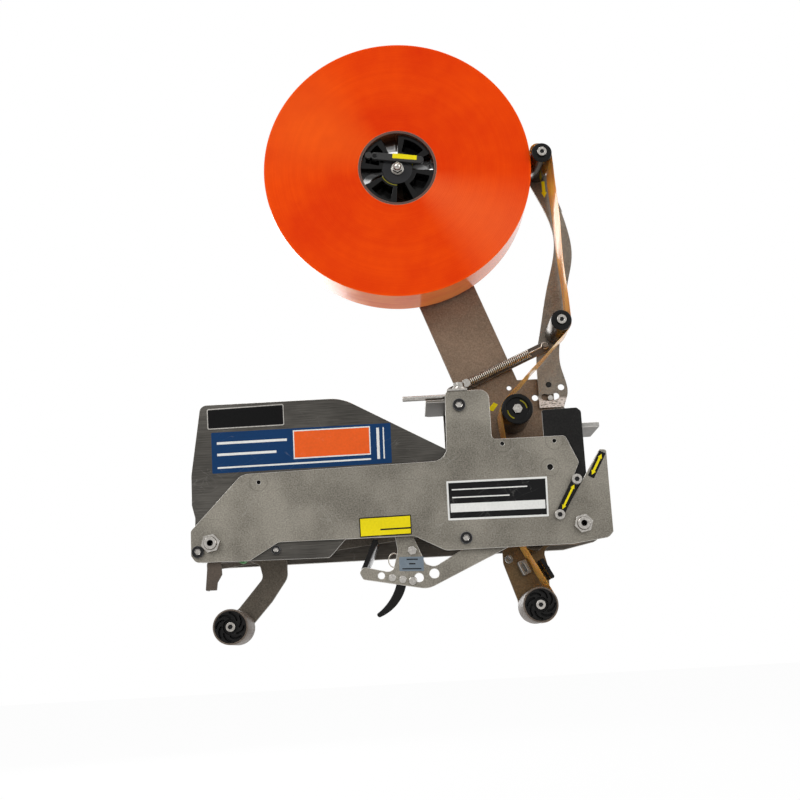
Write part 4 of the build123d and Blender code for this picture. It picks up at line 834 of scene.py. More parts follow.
for node, axis in (("guide_roller_1", guide_1), ("guide_roller_2", guide_2)):
    away = reach_from(*axis)
    repaint(made[node], dark_tube, lambda middle, normal:
            middle.y > roller_front + roller_cap and away(middle) > roller_bearing_r)
from_roll = reach_from(*roll_axis)
repaint(made["tape_core"], core_inside, lambda middle, normal: from_roll(middle) < core_bore_r)
for x, z, head_r in screw_seats:
    repaint(made["plate_screws"], bright_zinc, lambda middle, normal: normal.y < -0.9,
            disc=(x, z, head_r * socket_share))
for end in latch_ends:
    away = reach_from(*end)
    repaint(made["latch_bar"], bright_zinc, lambda middle, normal: away(middle) < 5.2 and middle.y < 5.6)
# painted shade in each socket's hollow
for node, spots, depth, socket_r in shaded_sockets:
    for x, z in spots:
        repaint(made[node], black_oxide, lambda middle, normal: middle.y < depth, disc=(x, z, socket_r))
from_pivot = reach_from(*follower_pivot)
repaint(made["bracket_pins"], black_oxide,
        lambda middle, normal: from_pivot(middle) < 6.0 and middle.y < 80.0)
# painted highlight: the tape guard's faces that turn left or up, towards the key and top lamps, take the
# bright ground finish
repaint(made["tape_guard"], ground_edge, lambda middle, normal: normal.x < -0.35 or normal.z > 0.6)
print("materials on the latch bar:", len(made["latch_bar"].data.materials))

# %% [markdown]
# ## The wound roll
# The roll follows one rule all the way round, which suits Geometry Nodes: a grid is bent so that
# its length runs round the axis and its width runs up the front face, over the rim, down the back
# and through the bore. A noise over the distance sets each turn of film a hair proud or shy.
# Merging the grid's ends closes it.

# %% Roll tree
def nodes_tree(name, inputs):
    """An empty Geometry Nodes tree with named inputs; returns it with its input and output nodes."""
    tree = bpy.data.node_groups.new(name, "GeometryNodeTree")
    tree.interface.new_socket(name="Geometry", in_out="INPUT", socket_type="NodeSocketGeometry")
    for label, kind, value in inputs:
        socket = tree.interface.new_socket(name=label, in_out="INPUT", socket_type=kind)
        if value is not None:
            socket.default_value = value
    tree.interface.new_socket(name="Geometry", in_out="OUTPUT", socket_type="NodeSocketGeometry")
    return tree, put(tree, "NodeGroupInput"), put(tree, "NodeGroupOutput")


def ends_with(tree, geometry, finish, output):
    """The common end of each tree: smooth faces, real instances and the material."""
    smooth = put(tree, "GeometryNodeSetShadeSmooth")
    tree.links.new(geometry, smooth.inputs["Geometry"])
    real = put(tree, "GeometryNodeRealizeInstances")
    tree.links.new(smooth.outputs["Geometry"], real.inputs["Geometry"])
    coat = put(tree, "GeometryNodeSetMaterial")
    tree.links.new(real.outputs["Geometry"], coat.inputs["Geometry"])
    tree.links.new(finish, coat.inputs["Material"])
    tree.links.new(coat.outputs["Geometry"], output.inputs["Geometry"])


def grown(name, tree, mesh, **values):
    """A piece that a tree grows on a mesh, turned into a plain mesh."""
    piece = placed(name, mesh)
    growth = piece.modifiers.new("growth", "NODES")
    growth.node_group = tree
    inputs = [item for item in tree.interface.items_tree if item.in_out == "INPUT"]
    sockets = {item.name: item.identifier for item in inputs}
    for label, value in values.items():
        growth[sockets[label.replace("_", " ")]] = value
    return plain(piece)


roll_tree, given, output = nodes_tree("wound_roll", [
    ("Inner Radius", "NodeSocketFloat", 0.041), ("Outer Radius", "NodeSocketFloat", 0.139),
    ("Front", "NodeSocketFloat", 0.026), ("Width", "NodeSocketFloat", 0.048),
    ("Ring Depth", "NodeSocketFloat", 0.00018), ("Steps Round", "NodeSocketInt", 257),
    ("Steps Across", "NodeSocketInt", 241), ("Seed", "NodeSocketFloat", 3.0),
    ("Finish", "NodeSocketMaterial", None)])
grid = put(roll_tree, "GeometryNodeMeshGrid")
feed(roll_tree, grid.inputs["Size X"], 1.0)
feed(roll_tree, grid.inputs["Size Y"], 1.0)
feed(roll_tree, grid.inputs["Vertices X"], given.outputs["Steps Round"])
feed(roll_tree, grid.inputs["Vertices Y"], given.outputs["Steps Across"])
spot = put(roll_tree, "ShaderNodeSeparateXYZ")
roll_tree.links.new(put(roll_tree, "GeometryNodeInputPosition").outputs["Position"], spot.inputs[0])
angle = maths(roll_tree, "MULTIPLY", spot.outputs["X"], 2.0 * math.pi)
run = maths(roll_tree, "ADD", spot.outputs["Y"], 0.5)
front_top, back_top, back_foot = 0.42, 0.5, 0.92
up_front = span(roll_tree, run, 0.0, front_top)
over_rim = span(roll_tree, run, front_top, back_top)
down_back = span(roll_tree, run, back_top, back_foot)
through = span(roll_tree, run, back_foot, 1.0)
depth = maths(roll_tree, "SUBTRACT", given.outputs["Outer Radius"], given.outputs["Inner Radius"])
reach = maths(roll_tree, "ADD", given.outputs["Inner Radius"],
              maths(roll_tree, "MULTIPLY", depth, maths(roll_tree, "SUBTRACT", up_front, down_back)))
turns = put(roll_tree, "ShaderNodeTexNoise", noise_dimensions="2D")
spread = put(roll_tree, "ShaderNodeCombineXYZ")
feed(roll_tree, spread.inputs["X"], maths(roll_tree, "MULTIPLY", reach, 900.0))
feed(roll_tree, spread.inputs["Y"], given.outputs["Seed"])
roll_tree.links.new(spread.outputs[0], turns.inputs["Vector"])
feed(roll_tree, turns.inputs["Scale"], 1.0)
proud = maths(roll_tree, "MULTIPLY", turns.outputs["Fac"], given.outputs["Ring Depth"])
back_share = maths(roll_tree, "SUBTRACT", over_rim, through)
both_proud = maths(roll_tree, "MULTIPLY", proud, 2.0)
true_width = maths(roll_tree, "SUBTRACT", given.outputs["Width"], both_proud)
side = maths(roll_tree, "ADD", given.outputs["Front"], maths(roll_tree, "MULTIPLY", back_share, true_width))
bent = put(roll_tree, "ShaderNodeCombineXYZ")
feed(roll_tree, bent.inputs["Y"], maths(roll_tree, "ADD", side, proud))
for label, centre, share in (("X", roll_axis[0], "COSINE"), ("Z", roll_axis[1], "SINE")):
    off_axis = maths(roll_tree, "MULTIPLY", reach, maths(roll_tree, share, angle))
    feed(roll_tree, bent.inputs[label], maths(roll_tree, "ADD", centre * MM, off_axis))
bend = put(roll_tree, "GeometryNodeSetPosition")
roll_tree.links.new(grid.outputs["Mesh"], bend.inputs["Geometry"])
roll_tree.links.new(bent.outputs[0], bend.inputs["Position"])
weld = put(roll_tree, "GeometryNodeMergeByDistance")
roll_tree.links.new(bend.outputs["Geometry"], weld.inputs["Geometry"])
feed(roll_tree, weld.inputs["Distance"], 0.001 * MM)
ends_with(roll_tree, weld.outputs["Geometry"], given.outputs["Finish"], output)


def outward(piece):
    """Turns a closed mesh's faces outwards."""
    work = bmesh.new()
    work.from_mesh(piece.data)
    bmesh.ops.recalc_face_normals(work, faces=work.faces)
    work.to_mesh(piece.data)
    work.free()
    return piece


roll = outward(grown("tape_roll_wound", roll_tree, bpy.data.meshes.new("roll"),
                     Finish=wound_film["material"]))
repaint(roll, roll_rim, lambda middle, normal: from_roll(middle) > roll_r - 0.3 and abs(normal.y) < 0.5)
roll.data.set_sharp_from_angle(angle=sharp_angle)
joins(roll, "tape_roll")
print("roll faces:", len(roll.data.polygons))

# %% [markdown]
# ## Springs
# An extension spring is one wire: a close coil and a hook at each end. One tree winds the coil from
# its start to its end with the wire's radius and the number of turns as inputs, and a second tree
# sweeps a round wire along any line, for the hooks and for other bent wire on the head. Both parts
# are joined into one piece that stretches between the frame and the arm that pulls it.

# %% Coil and wire trees
coil_tree, given, output = nodes_tree("wound_coil", [
    ("Start", "NodeSocketVector", (0.0, 0.0, 0.0)), ("End", "NodeSocketVector", (0.0, 0.0, 0.05)),
    ("Coil Radius", "NodeSocketFloat", 0.0037), ("Wire Radius", "NodeSocketFloat", 0.0006),
    ("Turns", "NodeSocketFloat", 40.0), ("Steps", "NodeSocketInt", 18), ("Sides", "NodeSocketInt", 7),
    ("Finish", "NodeSocketMaterial", None)])
reach_out = put(coil_tree, "ShaderNodeVectorMath", operation="SUBTRACT")
coil_tree.links.new(given.outputs["End"], reach_out.inputs[0])
coil_tree.links.new(given.outputs["Start"], reach_out.inputs[1])
length = put(coil_tree, "ShaderNodeVectorMath", operation="LENGTH")
coil_tree.links.new(reach_out.outputs["Vector"], length.inputs[0])
spiral = put(coil_tree, "GeometryNodeCurveSpiral")
for label, source in (("Resolution", "Steps"), ("Rotations", "Turns"), ("Start Radius", "Coil Radius"),
                      ("End Radius", "Coil Radius")):
    coil_tree.links.new(given.outputs[source], spiral.inputs[label])
coil_tree.links.new(length.outputs["Value"], spiral.inputs["Height"])
aim = put(coil_tree, "FunctionNodeAlignRotationToVector", axis="Z")
coil_tree.links.new(reach_out.outputs["Vector"], aim.inputs["Vector"])
move = put(coil_tree, "GeometryNodeTransform")
coil_tree.links.new(spiral.outputs["Curve"], move.inputs["Geometry"])
coil_tree.links.new(given.outputs["Start"], move.inputs["Translation"])
coil_tree.links.new(aim.outputs["Rotation"], move.inputs["Rotation"])


def wire_sweep(tree, curve, given):
    """A round wire swept along a curve."""
    ring = put(tree, "GeometryNodeCurvePrimitiveCircle")
    tree.links.new(given.outputs["Sides"], ring.inputs["Resolution"])
    tree.links.new(given.outputs["Wire Radius"], ring.inputs["Radius"])
    sweep = put(tree, "GeometryNodeCurveToMesh")
    feed(tree, sweep.inputs["Fill Caps"], True)
    tree.links.new(curve, sweep.inputs["Curve"])
    tree.links.new(ring.outputs["Curve"], sweep.inputs["Profile Curve"])
    return sweep.outputs["Mesh"]


swept = wire_sweep(coil_tree, move.outputs["Geometry"], given)
ends_with(coil_tree, swept, given.outputs["Finish"], output)

wire_tree, given, output = nodes_tree("bent_wire", [
    ("Wire Radius", "NodeSocketFloat", 0.0006), ("Sides", "NodeSocketInt", 9),
    ("Finish", "NodeSocketMaterial", None)])
to_curve = put(wire_tree, "GeometryNodeMeshToCurve")
wire_tree.links.new(given.outputs["Geometry"], to_curve.inputs["Mesh"])
swept = wire_sweep(wire_tree, to_curve.outputs["Curve"], given)
ends_with(wire_tree, swept, given.outputs["Finish"], output)
print("trees:", [tree.name for tree in bpy.data.node_groups if tree.bl_idname == "GeometryNodeTree"])

# %% [markdown]
# The hooks are drawn as lines of points in the spring's own plane: a loop round the pin and a
# straight shank that runs into the coil. Joining the meshes keeps one spring as one piece, which
# spans from the post on the frame to the pin on the arm where they stand now.

# %% Make the springs
def at(x, y, z):
    """A point given in mm, in metres."""
    return Vector((x, y, z)) * MM


def wire_line(name, points, radius):
    """Bent wire along points given in metres, with a radius in mm."""
    mesh = bpy.data.meshes.new(name)
    mesh.from_pydata([tuple(p) for p in points], [(i, i + 1) for i in range(len(points) - 1)], [])
    return grown(name, wire_tree, mesh, Wire_Radius=radius * MM, Finish=drawn_wire["material"])


def joined(name, pieces):
    """Several objects made one, with the name given."""
    work = bmesh.new()
    for piece in pieces:
        work.from_mesh(piece.data)
    mesh = bpy.data.meshes.new(name)
    work.to_mesh(mesh)
    work.free()
    mesh.materials.append(pieces[0].data.materials[0])
    for piece in pieces:
        bpy.data.objects.remove(piece)
    return placed(name, mesh)


hook_steps = 22
hook_gap = 35.0
hook_neck = 0.8
hook_overlap = 0.6


def hook(centre, towards, loop_r, shank):
    """Points of an open loop round a pin and the shank that leaves it towards the coil."""
    lean = math.atan2(towards.z - centre.z, towards.x - centre.x)
    points = []
    for step in range(hook_steps + 1):
        angle = lean + math.radians(hook_gap + (360.0 - 2.0 * hook_gap) * step / hook_steps)
        points.append(centre + Vector((math.cos(angle), 0.0, math.sin(angle))) * loop_r * MM)
    along = Vector((math.cos(lean), 0.0, math.sin(lean)))
    points.append(centre + along * (loop_r + hook_neck) * MM)
    points.append(centre + along * shank * MM)
    return points


def spring(node, start, end, coil_r, wire_r, loop_r, shanks, turns):
    """A coil spring with hooks in place of a CAD node, stretched between two bodies."""
    along = (end - start).normalized()
    coil = grown(node + "_coil", coil_tree, bpy.data.meshes.new("coil"),
                 Start=start + along * shanks[0] * MM, End=end - along * shanks[1] * MM,
                 Coil_Radius=(coil_r - wire_r) * MM, Wire_Radius=wire_r * MM, Turns=turns,
                 Finish=drawn_wire["material"])
    first = wire_line("hook_a", hook(start, end, loop_r, shanks[0] + hook_overlap), wire_r)
    last = wire_line("hook_b", hook(end, start, loop_r, shanks[1] + hook_overlap), wire_r)
    piece = joined(node + "_wound", [coil, first, last])
    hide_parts(node)
    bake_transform(piece)
    return piece


arm_spring = spring(
    "unwind_spring", at(79.2, 69.0, 156.7), at(spring_pin[0], 69.0, spring_pin[1]), coil_r=4.3, wire_r=0.72,
    loop_r=3.4, shanks=(3.5, 18.5), turns=34.0)
blade_spring = spring(
    "knife_spring", at(131.0, 20.1, 60.0), at(126.0, 20.1, 5.0), coil_r=2.2, wire_r=0.35,
    loop_r=2.4, shanks=(2.9, 2.9), turns=44.0)
print("spring faces:", len(arm_spring.data.polygons), len(blade_spring.data.polygons))

# %% [markdown]
# ## The film
# The tape leaves the roll at a nip with the upper guide roller, runs down the outside of the
# follower to the lower guide roller, back round the tension roller, under the wrap roller and onto
# the apply roller. Each strand is a thin closed sheet along a line of points. A strand that is free
# between rollers gets soft folds; one that lies on a roller stays round.

# %% Film helpers
film_front, film_back = 26.4, 73.6
film_t = 0.16
film_across = 25
film_crease = math.radians(50.0)
fold_waves = ((7.0, 3.2, 0.0, 0.6), (17.0, -5.0, 1.0, 0.4))
fold_fade = 0.08


def on_circle(centre, radius, bearing):
    """The point of a circle at a bearing in degrees."""
    angle = math.radians(bearing)
    return centre[0] + radius * math.cos(angle), centre[1] + radius * math.sin(angle)


def arc(centre, radius, start, end, steps=24):
    """Points round a centre from one bearing to another, in degrees."""
    return [on_circle(centre, radius, start + (end - start) * i / steps) for i in range(steps + 1)]


def straight(start, end, steps):
    """Points along a straight run."""
    return [(start[0] + (end[0] - start[0]) * i / steps, start[1] + (end[1] - start[1]) * i / steps)
            for i in range(steps + 1)]


def film(name, points, fold=0.0, free=(0.0, 0.0)):
    """A thin closed sheet of film along points (x, z), with soft folds over the share that runs free."""
    across = film_across
    thick = film_t / 2.0
    rows = []
    for index, (x, z) in enumerate(points):
        ahead = Vector(points[min(index + 1, len(points) - 1)])
        behind = Vector(points[max(index - 1, 0)])
        slope = (ahead - behind).normalized()
        normal = Vector((-slope.y, slope.x))
        share = index / (len(points) - 1)
        slack = max(0.0, min((share - free[0]) / fold_fade, (free[1] - share) / fold_fade, 1.0))
        row = []
        for step in range(across):
            v = step / (across - 1)
            wave = sum(math.sin(down * share + over * v + begin) * part
                       for down, over, begin, part in fold_waves)
            lift = fold * slack * wave
            y = film_front + (film_back - film_front) * v
            row.append((x + normal.x * lift, y, z + normal.y * lift, normal))
        rows.append(row)
    verts = []
    for sign in (1.0, -1.0):
        for row in rows:
            for x, y, z, normal in row:
                verts.append((x + normal.x * thick * sign, y, z + normal.y * thick * sign))
    count = len(rows) * across
    faces = []
    for i in range(len(rows) - 1):
        for j in range(across - 1):
            a = i * across + j
            faces.append((a, a + 1, a + across + 1, a + across))
            faces.append((count + a, count + a + across, count + a + across + 1, count + a + 1))
    edge = [i * across for i in range(len(rows))]
    edge += [(len(rows) - 1) * across + j for j in range(1, across)]
    edge += [i * across + across - 1 for i in range(len(rows) - 2, -1, -1)]
    edge += list(range(across - 2, 0, -1))
    for k, a in enumerate(edge):
        b = edge[(k + 1) % len(edge)]
        faces.append((a, b, b + count, a + count))
    mesh = bpy.data.meshes.new(name)
    mesh.from_pydata([tuple(c * MM for c in v) for v in verts], [], faces)
    mesh.materials.append(clear_film["material"])
    piece = outward(placed(name, mesh))
    for face in piece.data.polygons:
        face.use_smooth = True
    piece.data.set_sharp_from_angle(angle=film_crease)
    return piece


print("film thickness:", film_t, "mm")

# %% [markdown]
# Film that runs from one roller to the next leaves the first and meets the second at right angles
# to the radius there. Both bearings follow from the two axes and the two radii: the same bearing
# where the film stays on one side, and the opposite one where it crosses over between the rollers.

# %% Where film meets rollers
film_gap = 0.5
guide_film_r, tension_film_r = 10.5 + film_gap, 15.5 + film_gap
wrap_film_r, apply_film_r = 10.0 + film_gap, 17.0 + film_gap


def leaving(start, start_r, end, end_r, side, crosses=False):
    """Bearing in degrees at which film leaves the circle round start for the one round end."""
    run = math.atan2(end[1] - start[1], end[0] - start[0])
    difference = start_r + end_r if crosses else start_r - end_r
    return math.degrees(run + side * math.acos(difference / math.dist(start, end)))


outer_side = leaving(guide_1, guide_film_r, guide_2, guide_film_r, 1.0)
guide_leave = leaving(guide_2, guide_film_r, tension, tension_film_r, 1.0, crosses=True)
tension_meet = guide_leave + 180.0
drop_side = leaving(tension, tension_film_r, wrap, wrap_film_r, -1.0) + 360.0
wrap_leave = leaving(wrap, wrap_film_r, apply_roller, apply_film_r, -1.0, crosses=True) + 360.0
apply_meet = wrap_leave - 180.0
print("bearings:", [round(b, 2) for b in (outer_side, guide_leave, drop_side, wrap_leave)])

# %% Film strands
lead_meet = 62.0
wrap_start = drop_side + 1.0
apply_end = -75.0
film_down = film(
    "film_guides_folded",
    arc(guide_1, guide_film_r, lead_meet, outer_side, 10)
    + straight(on_circle(guide_1, guide_film_r, outer_side), on_circle(guide_2, guide_film_r, outer_side),
               60)[1:]
    + arc(guide_2, guide_film_r, outer_side, guide_leave, 12)[1:],
    fold=1.1, free=(0.1, 0.9))
joins(film_down, "film_guides")

film_back_run = film(
    "film_upper_folded",
    straight(on_circle(guide_2, guide_film_r, guide_leave),
             on_circle(tension, tension_film_r, tension_meet), 50),
    fold=0.6, free=(0.0, 1.0))
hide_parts("film_upper")
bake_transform(film_back_run)

film_drop = film(
    "film_lower_folded",
    arc(tension, tension_film_r, tension_meet, drop_side)
    + straight(on_circle(tension, tension_film_r, drop_side),
               on_circle(wrap, wrap_film_r, drop_side), 50)[1:],
    fold=0.5, free=(0.3, 0.95))
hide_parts("film_lower")
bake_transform(film_drop)

film_end = film(
    "film_apply_folded",
    arc(wrap, wrap_film_r, wrap_start, wrap_leave, 12)
    + straight(on_circle(wrap, wrap_film_r, wrap_leave),
               on_circle(apply_roller, apply_film_r, apply_meet), 30)[1:]
    + arc(apply_roller, apply_film_r, apply_meet, apply_end)[1:],
    fold=0.4, free=(0.2, 0.5))
joins(film_end, "film_apply")
print("film faces:", [len(piece.data.polygons) for piece in (film_down, film_back_run, film_drop, film_end)])

# %% [markdown]
# The first strand comes off the roll beside the nip and humps over the upper guide roller.

# %% Lead strand
lead_start = on_circle(roll_axis, roll_r + 0.25, 4.0)
lead_knots = [lead_start, (159.0, 393.6), (160.6, 397.2), (163.6, 399.6), (167.4, 400.4), (171.6, 399.6),
              on_circle(guide_1, guide_film_r, lead_meet)]


def smooth_line(knots, steps=8):
    """A smooth line through knots; each stretch weighs its own two knots and the next one on either side."""
    points = []
    padded = [knots[0]] + list(knots) + [knots[-1]]
    for i in range(1, len(padded) - 2):
        for step in range(steps):
            t = step / steps
            weights = (-0.5 * t + t * t - 0.5 * t ** 3, 1.0 - 2.5 * t * t + 1.5 * t ** 3,
                       0.5 * t + 2.0 * t * t - 1.5 * t ** 3, -0.5 * t * t + 0.5 * t ** 3)
            near = padded[i - 1:i + 3]
            points.append(tuple(sum(w * knot[axis] for w, knot in zip(weights, near)) for axis in (0, 1)))
    return points + [knots[-1]]


film_lead = film("film_lead_humped", smooth_line(lead_knots))
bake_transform(film_lead)
lead_length = sum(math.dist(a, b) for a, b in zip(lead_knots, lead_knots[1:]))
print("lead length:", round(lead_length, 1), "mm")

# %% [markdown]
# ## Labels
# Each label is a thin film with panels in a few inks. A panel is an outline at a depth, lifted a
# tenth of a millimetre or two, so the layers stack like print on a base. The places keep plain
# panels and rules.

# %% Label helpers
def panel(corners, trim):
    """An outline with its corners cut back a little, which reads as rounded at this size."""
    points = []
    count = len(corners)
    for i, corner in enumerate(corners):
        here = Vector(corner)
        for other in (corners[i - 1], corners[(i + 1) % count]):
            towards = (Vector(other) - here).normalized()
            points.append(tuple(here + towards * trim))
    return points


def within(corners, left, bottom, right, top):
    """The panel that covers a share of a four-cornered label, from its lower left corner."""
    top_left, top_right, low_right, low_left = (Vector(c) for c in corners)

    def spot(u, v):
        low = low_left.lerp(low_right, u)
        high = top_left.lerp(top_right, u)
        return tuple(low.lerp(high, v))

    return [spot(left, top), spot(right, top), spot(right, bottom), spot(left, bottom)]


label_sink = 0.02


def sticker(name, body, depth, layers):
    """Printed layers on the surface at a depth: each an outline in mm, its lift in mm and its finish."""
    verts, faces, inks, finishes = [], [], [], []
    for outline, lift, finish in layers:
        if finish not in finishes:
            finishes.append(finish)
        first = len(verts)
        count = len(outline)
        verts += [(x * MM, (depth - lift) * MM, z * MM) for x, z in outline]
        verts += [(x * MM, (depth - label_sink) * MM, z * MM) for x, z in outline]
        rows = [list(range(first, first + count)),
                list(range(first + 2 * count - 1, first + count - 1, -1))]
        for i in range(count):
            j = (i + 1) % count
            rows.append([first + i, first + count + i, first + count + j, first + j])
        faces += rows
        inks += [finishes.index(finish)] * len(rows)
    mesh = bpy.data.meshes.new(name)
    mesh.from_pydata(verts, [], faces)
    for finish in finishes:
        mesh.materials.append(finish["material"])
    for face, ink in zip(mesh.polygons, inks):
        face.material_index = ink
    piece = outward(placed(name, mesh))
    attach(piece, body)
    return piece


def arrow(tip, tail, width, head, both_ends=False):
    """Outline of an arrow from its tip back to its tail, with a head at one end or at both."""
    tip, tail = Vector(tip), Vector(tail)
    along = (tail - tip).normalized()
    side = Vector((-along.y, along.x))

    def head_at(point, inwards, right):
        neck = point + inwards * head
        return [neck - right * width / 2.0, neck - right * head / 2.0, point,
                neck + right * head / 2.0, neck + right * width / 2.0]

    outline = head_at(tip, along, side)
    outline += head_at(tail, -along, -side) if both_ends else [tail + side * width / 2.0,
                                                               tail - side * width / 2.0]
    return [tuple(point) for point in outline]


print("corners of an arrow with one head:", len(arrow((0.0, 0.0), (10.0, 0.0), 1.0, 2.0)))

# %% Labels on the cover and the front plate
cover_depth, plate_depth, bracket_depth = 11.0, 8.0, 82.0
top_plate = [(-181.0, 132.3), (-105.3, 133.7), (-105.1, 112.2), (-180.6, 111.7)]
sticker("cover_name_place", "frame", cover_depth, [
    (panel(top_plate, 1.2), 0.9, bright_zinc),
    (panel(within(top_plate, 0.012, 0.05, 0.988, 0.95), 0.8), 1.0, gloss_plate)])
wide_label = [(-177.2, 108.6), (-1.1, 109.0), (-1.6, 69.3), (-176.8, 68.1)]
sticker("cover_wide_label", "frame", cover_depth, [
    (panel(wide_label, 0.8), 0.10, ink_blue),
    (within(wide_label, 0.455, 0.24, 0.885, 0.95), 0.14, ink_white),
    (within(wide_label, 0.461, 0.27, 0.879, 0.92), 0.18, ink_orange),
    (within(wide_label, 0.03, 0.70, 0.42, 0.76), 0.14, ink_white),
    (within(wide_label, 0.03, 0.42, 0.36, 0.48), 0.14, ink_white),
    (within(wide_label, 0.03, 0.11, 0.885, 0.15), 0.14, ink_white),
    (within(wide_label, 0.92, 0.12, 0.935, 0.90), 0.14, ink_white),
    (within(wide_label, 0.955, 0.12, 0.962, 0.90), 0.14, ink_white)])
yellow_label = [(-36.1, 17.1), (14.1, 17.7), (14.0, -1.5), (-36.0, -1.9)]
sticker("plate_yellow_label", "frame", plate_depth, [
    (panel(yellow_label, 0.5), 0.10, ink_black),
    (within(yellow_label, 0.02, 0.06, 0.98, 0.94), 0.15, ink_yellow),
    (within(yellow_label, 0.40, 0.30, 0.98, 0.38), 0.18, ink_black)])
data_label = [(50.0, 48.0), (147.8, 47.6), (146.7, 8.9), (49.7, 10.0)]
sticker("plate_data_label", "frame", plate_depth, [
    (panel(data_label, 0.5), 0.10, ink_white),
    (within(data_label, 0.018, 0.05, 0.982, 0.95), 0.15, ink_black),
    (within(data_label, 0.03, 0.20, 0.97, 0.42), 0.19, ink_white),
    (within(data_label, 0.05, 0.76, 0.80, 0.79), 0.19, ink_white),
    (within(data_label, 0.05, 0.56, 0.62, 0.59), 0.19, ink_white)])
horn = [(200.6, 70.2), (206.6, 67.0), (193.0, 43.0), (187.4, 46.4)]
sticker("horn_arrow", "frame", plate_depth, [
    (panel(horn, 0.5), 0.10, ink_black),
    (arrow((191.3, 46.8), (202.6, 66.7), 2.2, 4.4, both_ends=True), 0.16, ink_yellow)])
bracket_patch = [(100.6, 131.0), (107.6, 138.4), (112.0, 136.0), (106.5, 129.0)]
sticker("bracket_patch", "frame", bracket_depth, [
    (panel(bracket_patch, 0.4), 0.12, ink_yellow)])
print("wide label:", round(math.dist(wide_label[0], wide_label[1]), 1), "mm long")

# %% Labels that move
latch_depth, follower_depth, knife_depth, lever_depth = 5.6, 77.0, 14.2, 25.4
sticker("latch_arrow", "latch", latch_depth, [
    (arrow((159.9, 14.8), (173.2, 38.0), 1.9, 4.0, both_ends=True), 0.14, ink_yellow)])
sticker("follower_arrow", "follower", follower_depth, [
    (arrow((177.4, 359.5), (177.0, 378.0), 3.4, 6.2), 0.14, ink_yellow)])
knife_label = [(0.6, -21.9), (24.0, -22.6), (23.7, -36.5), (0.2, -35.4)]
sticker("knife_label", "knife", knife_depth, [
    (panel(knife_label, 0.4), 0.10, ink_steel),
    (within(knife_label, 0.12, 0.12, 0.9, 0.2), 0.14, ink_black),
    (within(knife_label, 0.30, 0.78, 0.76, 0.86), 0.14, ink_black),
    (within(knife_label, 0.40, 0.46, 0.66, 0.56), 0.14, ink_black)])
lever_patch = [(15.8, 397.2), (41.1, 393.4), (40.3, 388.6), (15.3, 392.0)]
sticker("lever_patch", "drum_lock", lever_depth, [
    (panel(lever_patch, 0.4), 0.14, ink_yellow)])
print("knife label:", round(math.dist(knife_label[0], knife_label[1]), 1), "mm long")

# %% [markdown]
# ## Washers
# The rods and bolts at the back sit on flat washers. One ring, swept from a small rounded profile,
# is placed on every bolt's point by Geometry Nodes, and the instances are made real at the end.

# %% Washer tree
washer_tree, given, output = nodes_tree("flat_washers", [
    ("Outer Radius", "NodeSocketFloat", 0.0075), ("Inner Radius", "NodeSocketFloat", 0.0045),
    ("Thickness", "NodeSocketFloat", 0.0012), ("Finish", "NodeSocketMaterial", None)])
both_radii = maths(washer_tree, "ADD", given.outputs["Outer Radius"], given.outputs["Inner Radius"])
middle = maths(washer_tree, "MULTIPLY", both_radii, 0.5)
band = maths(washer_tree, "SUBTRACT", given.outputs["Outer Radius"], given.outputs["Inner Radius"])
path = put(washer_tree, "GeometryNodeCurvePrimitiveCircle")
feed(washer_tree, path.inputs["Resolution"], 40)
feed(washer_tree, path.inputs["Radius"], middle)
section = put(washer_tree, "GeometryNodeCurvePrimitiveQuadrilateral")
feed(washer_tree, section.inputs["Width"], band)
feed(washer_tree, section.inputs["Height"], given.outputs["Thickness"])
softened = put(washer_tree, "GeometryNodeFilletCurve")
washer_tree.links.new(section.outputs["Curve"], softened.inputs["Curve"])
corner_r = maths(washer_tree, "MULTIPLY", given.outputs["Thickness"], 0.3)
feed(washer_tree, softened.inputs["Radius"], corner_r)
swept = put(washer_tree, "GeometryNodeCurveToMesh")
washer_tree.links.new(path.outputs["Curve"], swept.inputs["Curve"])
washer_tree.links.new(softened.outputs["Curve"], swept.inputs["Profile Curve"])
stand = put(washer_tree, "GeometryNodeTransform")
washer_tree.links.new(swept.outputs["Mesh"], stand.inputs["Geometry"])
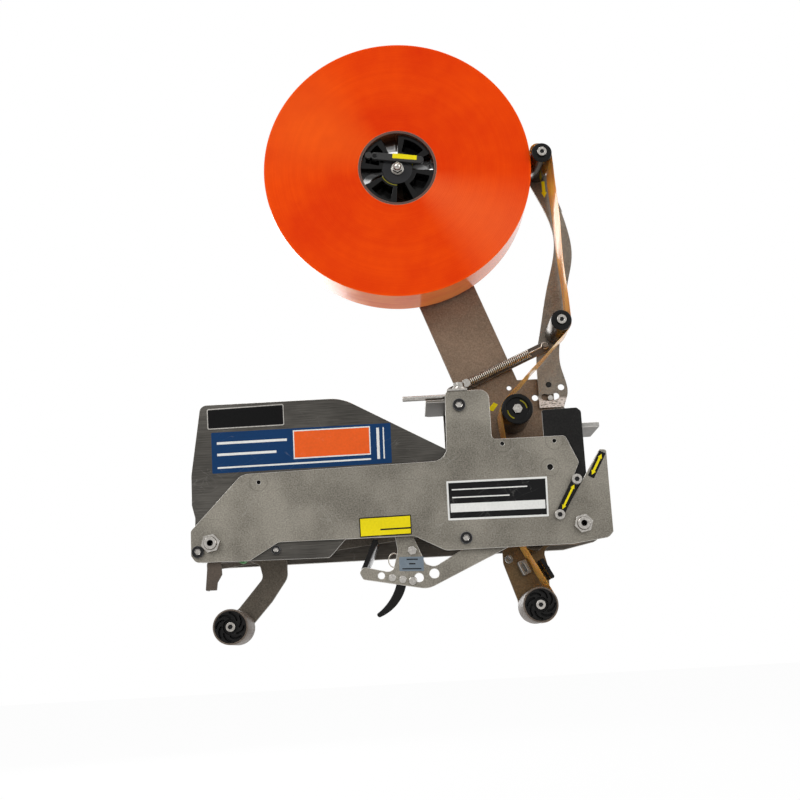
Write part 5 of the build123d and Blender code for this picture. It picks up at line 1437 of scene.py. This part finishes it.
stand.inputs["Rotation"].default_value = (math.radians(90.0), 0.0, 0.0)
spread_out = put(washer_tree, "GeometryNodeInstanceOnPoints")
washer_tree.links.new(given.outputs["Geometry"], spread_out.inputs["Points"])
washer_tree.links.new(stand.outputs["Geometry"], spread_out.inputs["Instance"])
ends_with(washer_tree, spread_out.outputs["Instances"], given.outputs["Finish"], output)


def washers(name, body, points, outer, inner, thick):
    """Bright flat washers at points given in mm, on a body; the radii and the thickness are in mm."""
    mesh = bpy.data.meshes.new(name)
    mesh.from_pydata([tuple(at(*p)) for p in points], [], [])
    piece = outward(grown(name, washer_tree, mesh, Outer_Radius=outer * MM, Inner_Radius=inner * MM,
                          Thickness=thick * MM, Finish=bright_zinc["material"]))
    piece.data.set_sharp_from_angle(angle=sharp_angle)
    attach(piece, body)
    return piece


washer_middle = 88.6
rear_bolts = plate_rods + ((-165.0, 104.0), (-52.0, 108.0), (112.0, 124.0), (146.0, 92.0), (160.0, 122.0),
                           (112.0, 94.0))
washers("rear_washers", "frame", [(x, washer_middle, z) for x, z in rear_bolts], 7.4, 4.2, 1.2)
washers("shaft_washers", "frame", [(x, washer_middle, z) for x, z in (buff_pivot, apply_pivot)],
        11.0, 6.3, 1.0)
print("washers at the back:", len(rear_bolts))

# %% [markdown]
# ## Small bent wire at the knife
# Beside the knife arm's lobe a loop of spring wire keeps the blade's holder back. The wire tree
# makes it too, and it rides on the knife.

# %% Knife wire
loop_x, loop_z, loop_depth, loop_steps = -4.4, -24.6, 18.2, 24
loop_half_wide, loop_half_high = 5.4, 6.8
loop_bearings = [math.radians(60.0 + 250.0 * i / loop_steps) for i in range(loop_steps + 1)]
loop_points = [at(loop_x + loop_half_wide * math.cos(a), loop_depth, loop_z + loop_half_high * math.sin(a))
               for a in loop_bearings]
loop_line = [at(3.0, 17.4, -17.0)] + loop_points + [at(2.0, 17.4, -33.0)]
knife_loop = wire_line("knife_wire_loop", loop_line, 0.55)
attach(knife_loop, "knife")
print("knife loop faces:", len(knife_loop.data.polygons))
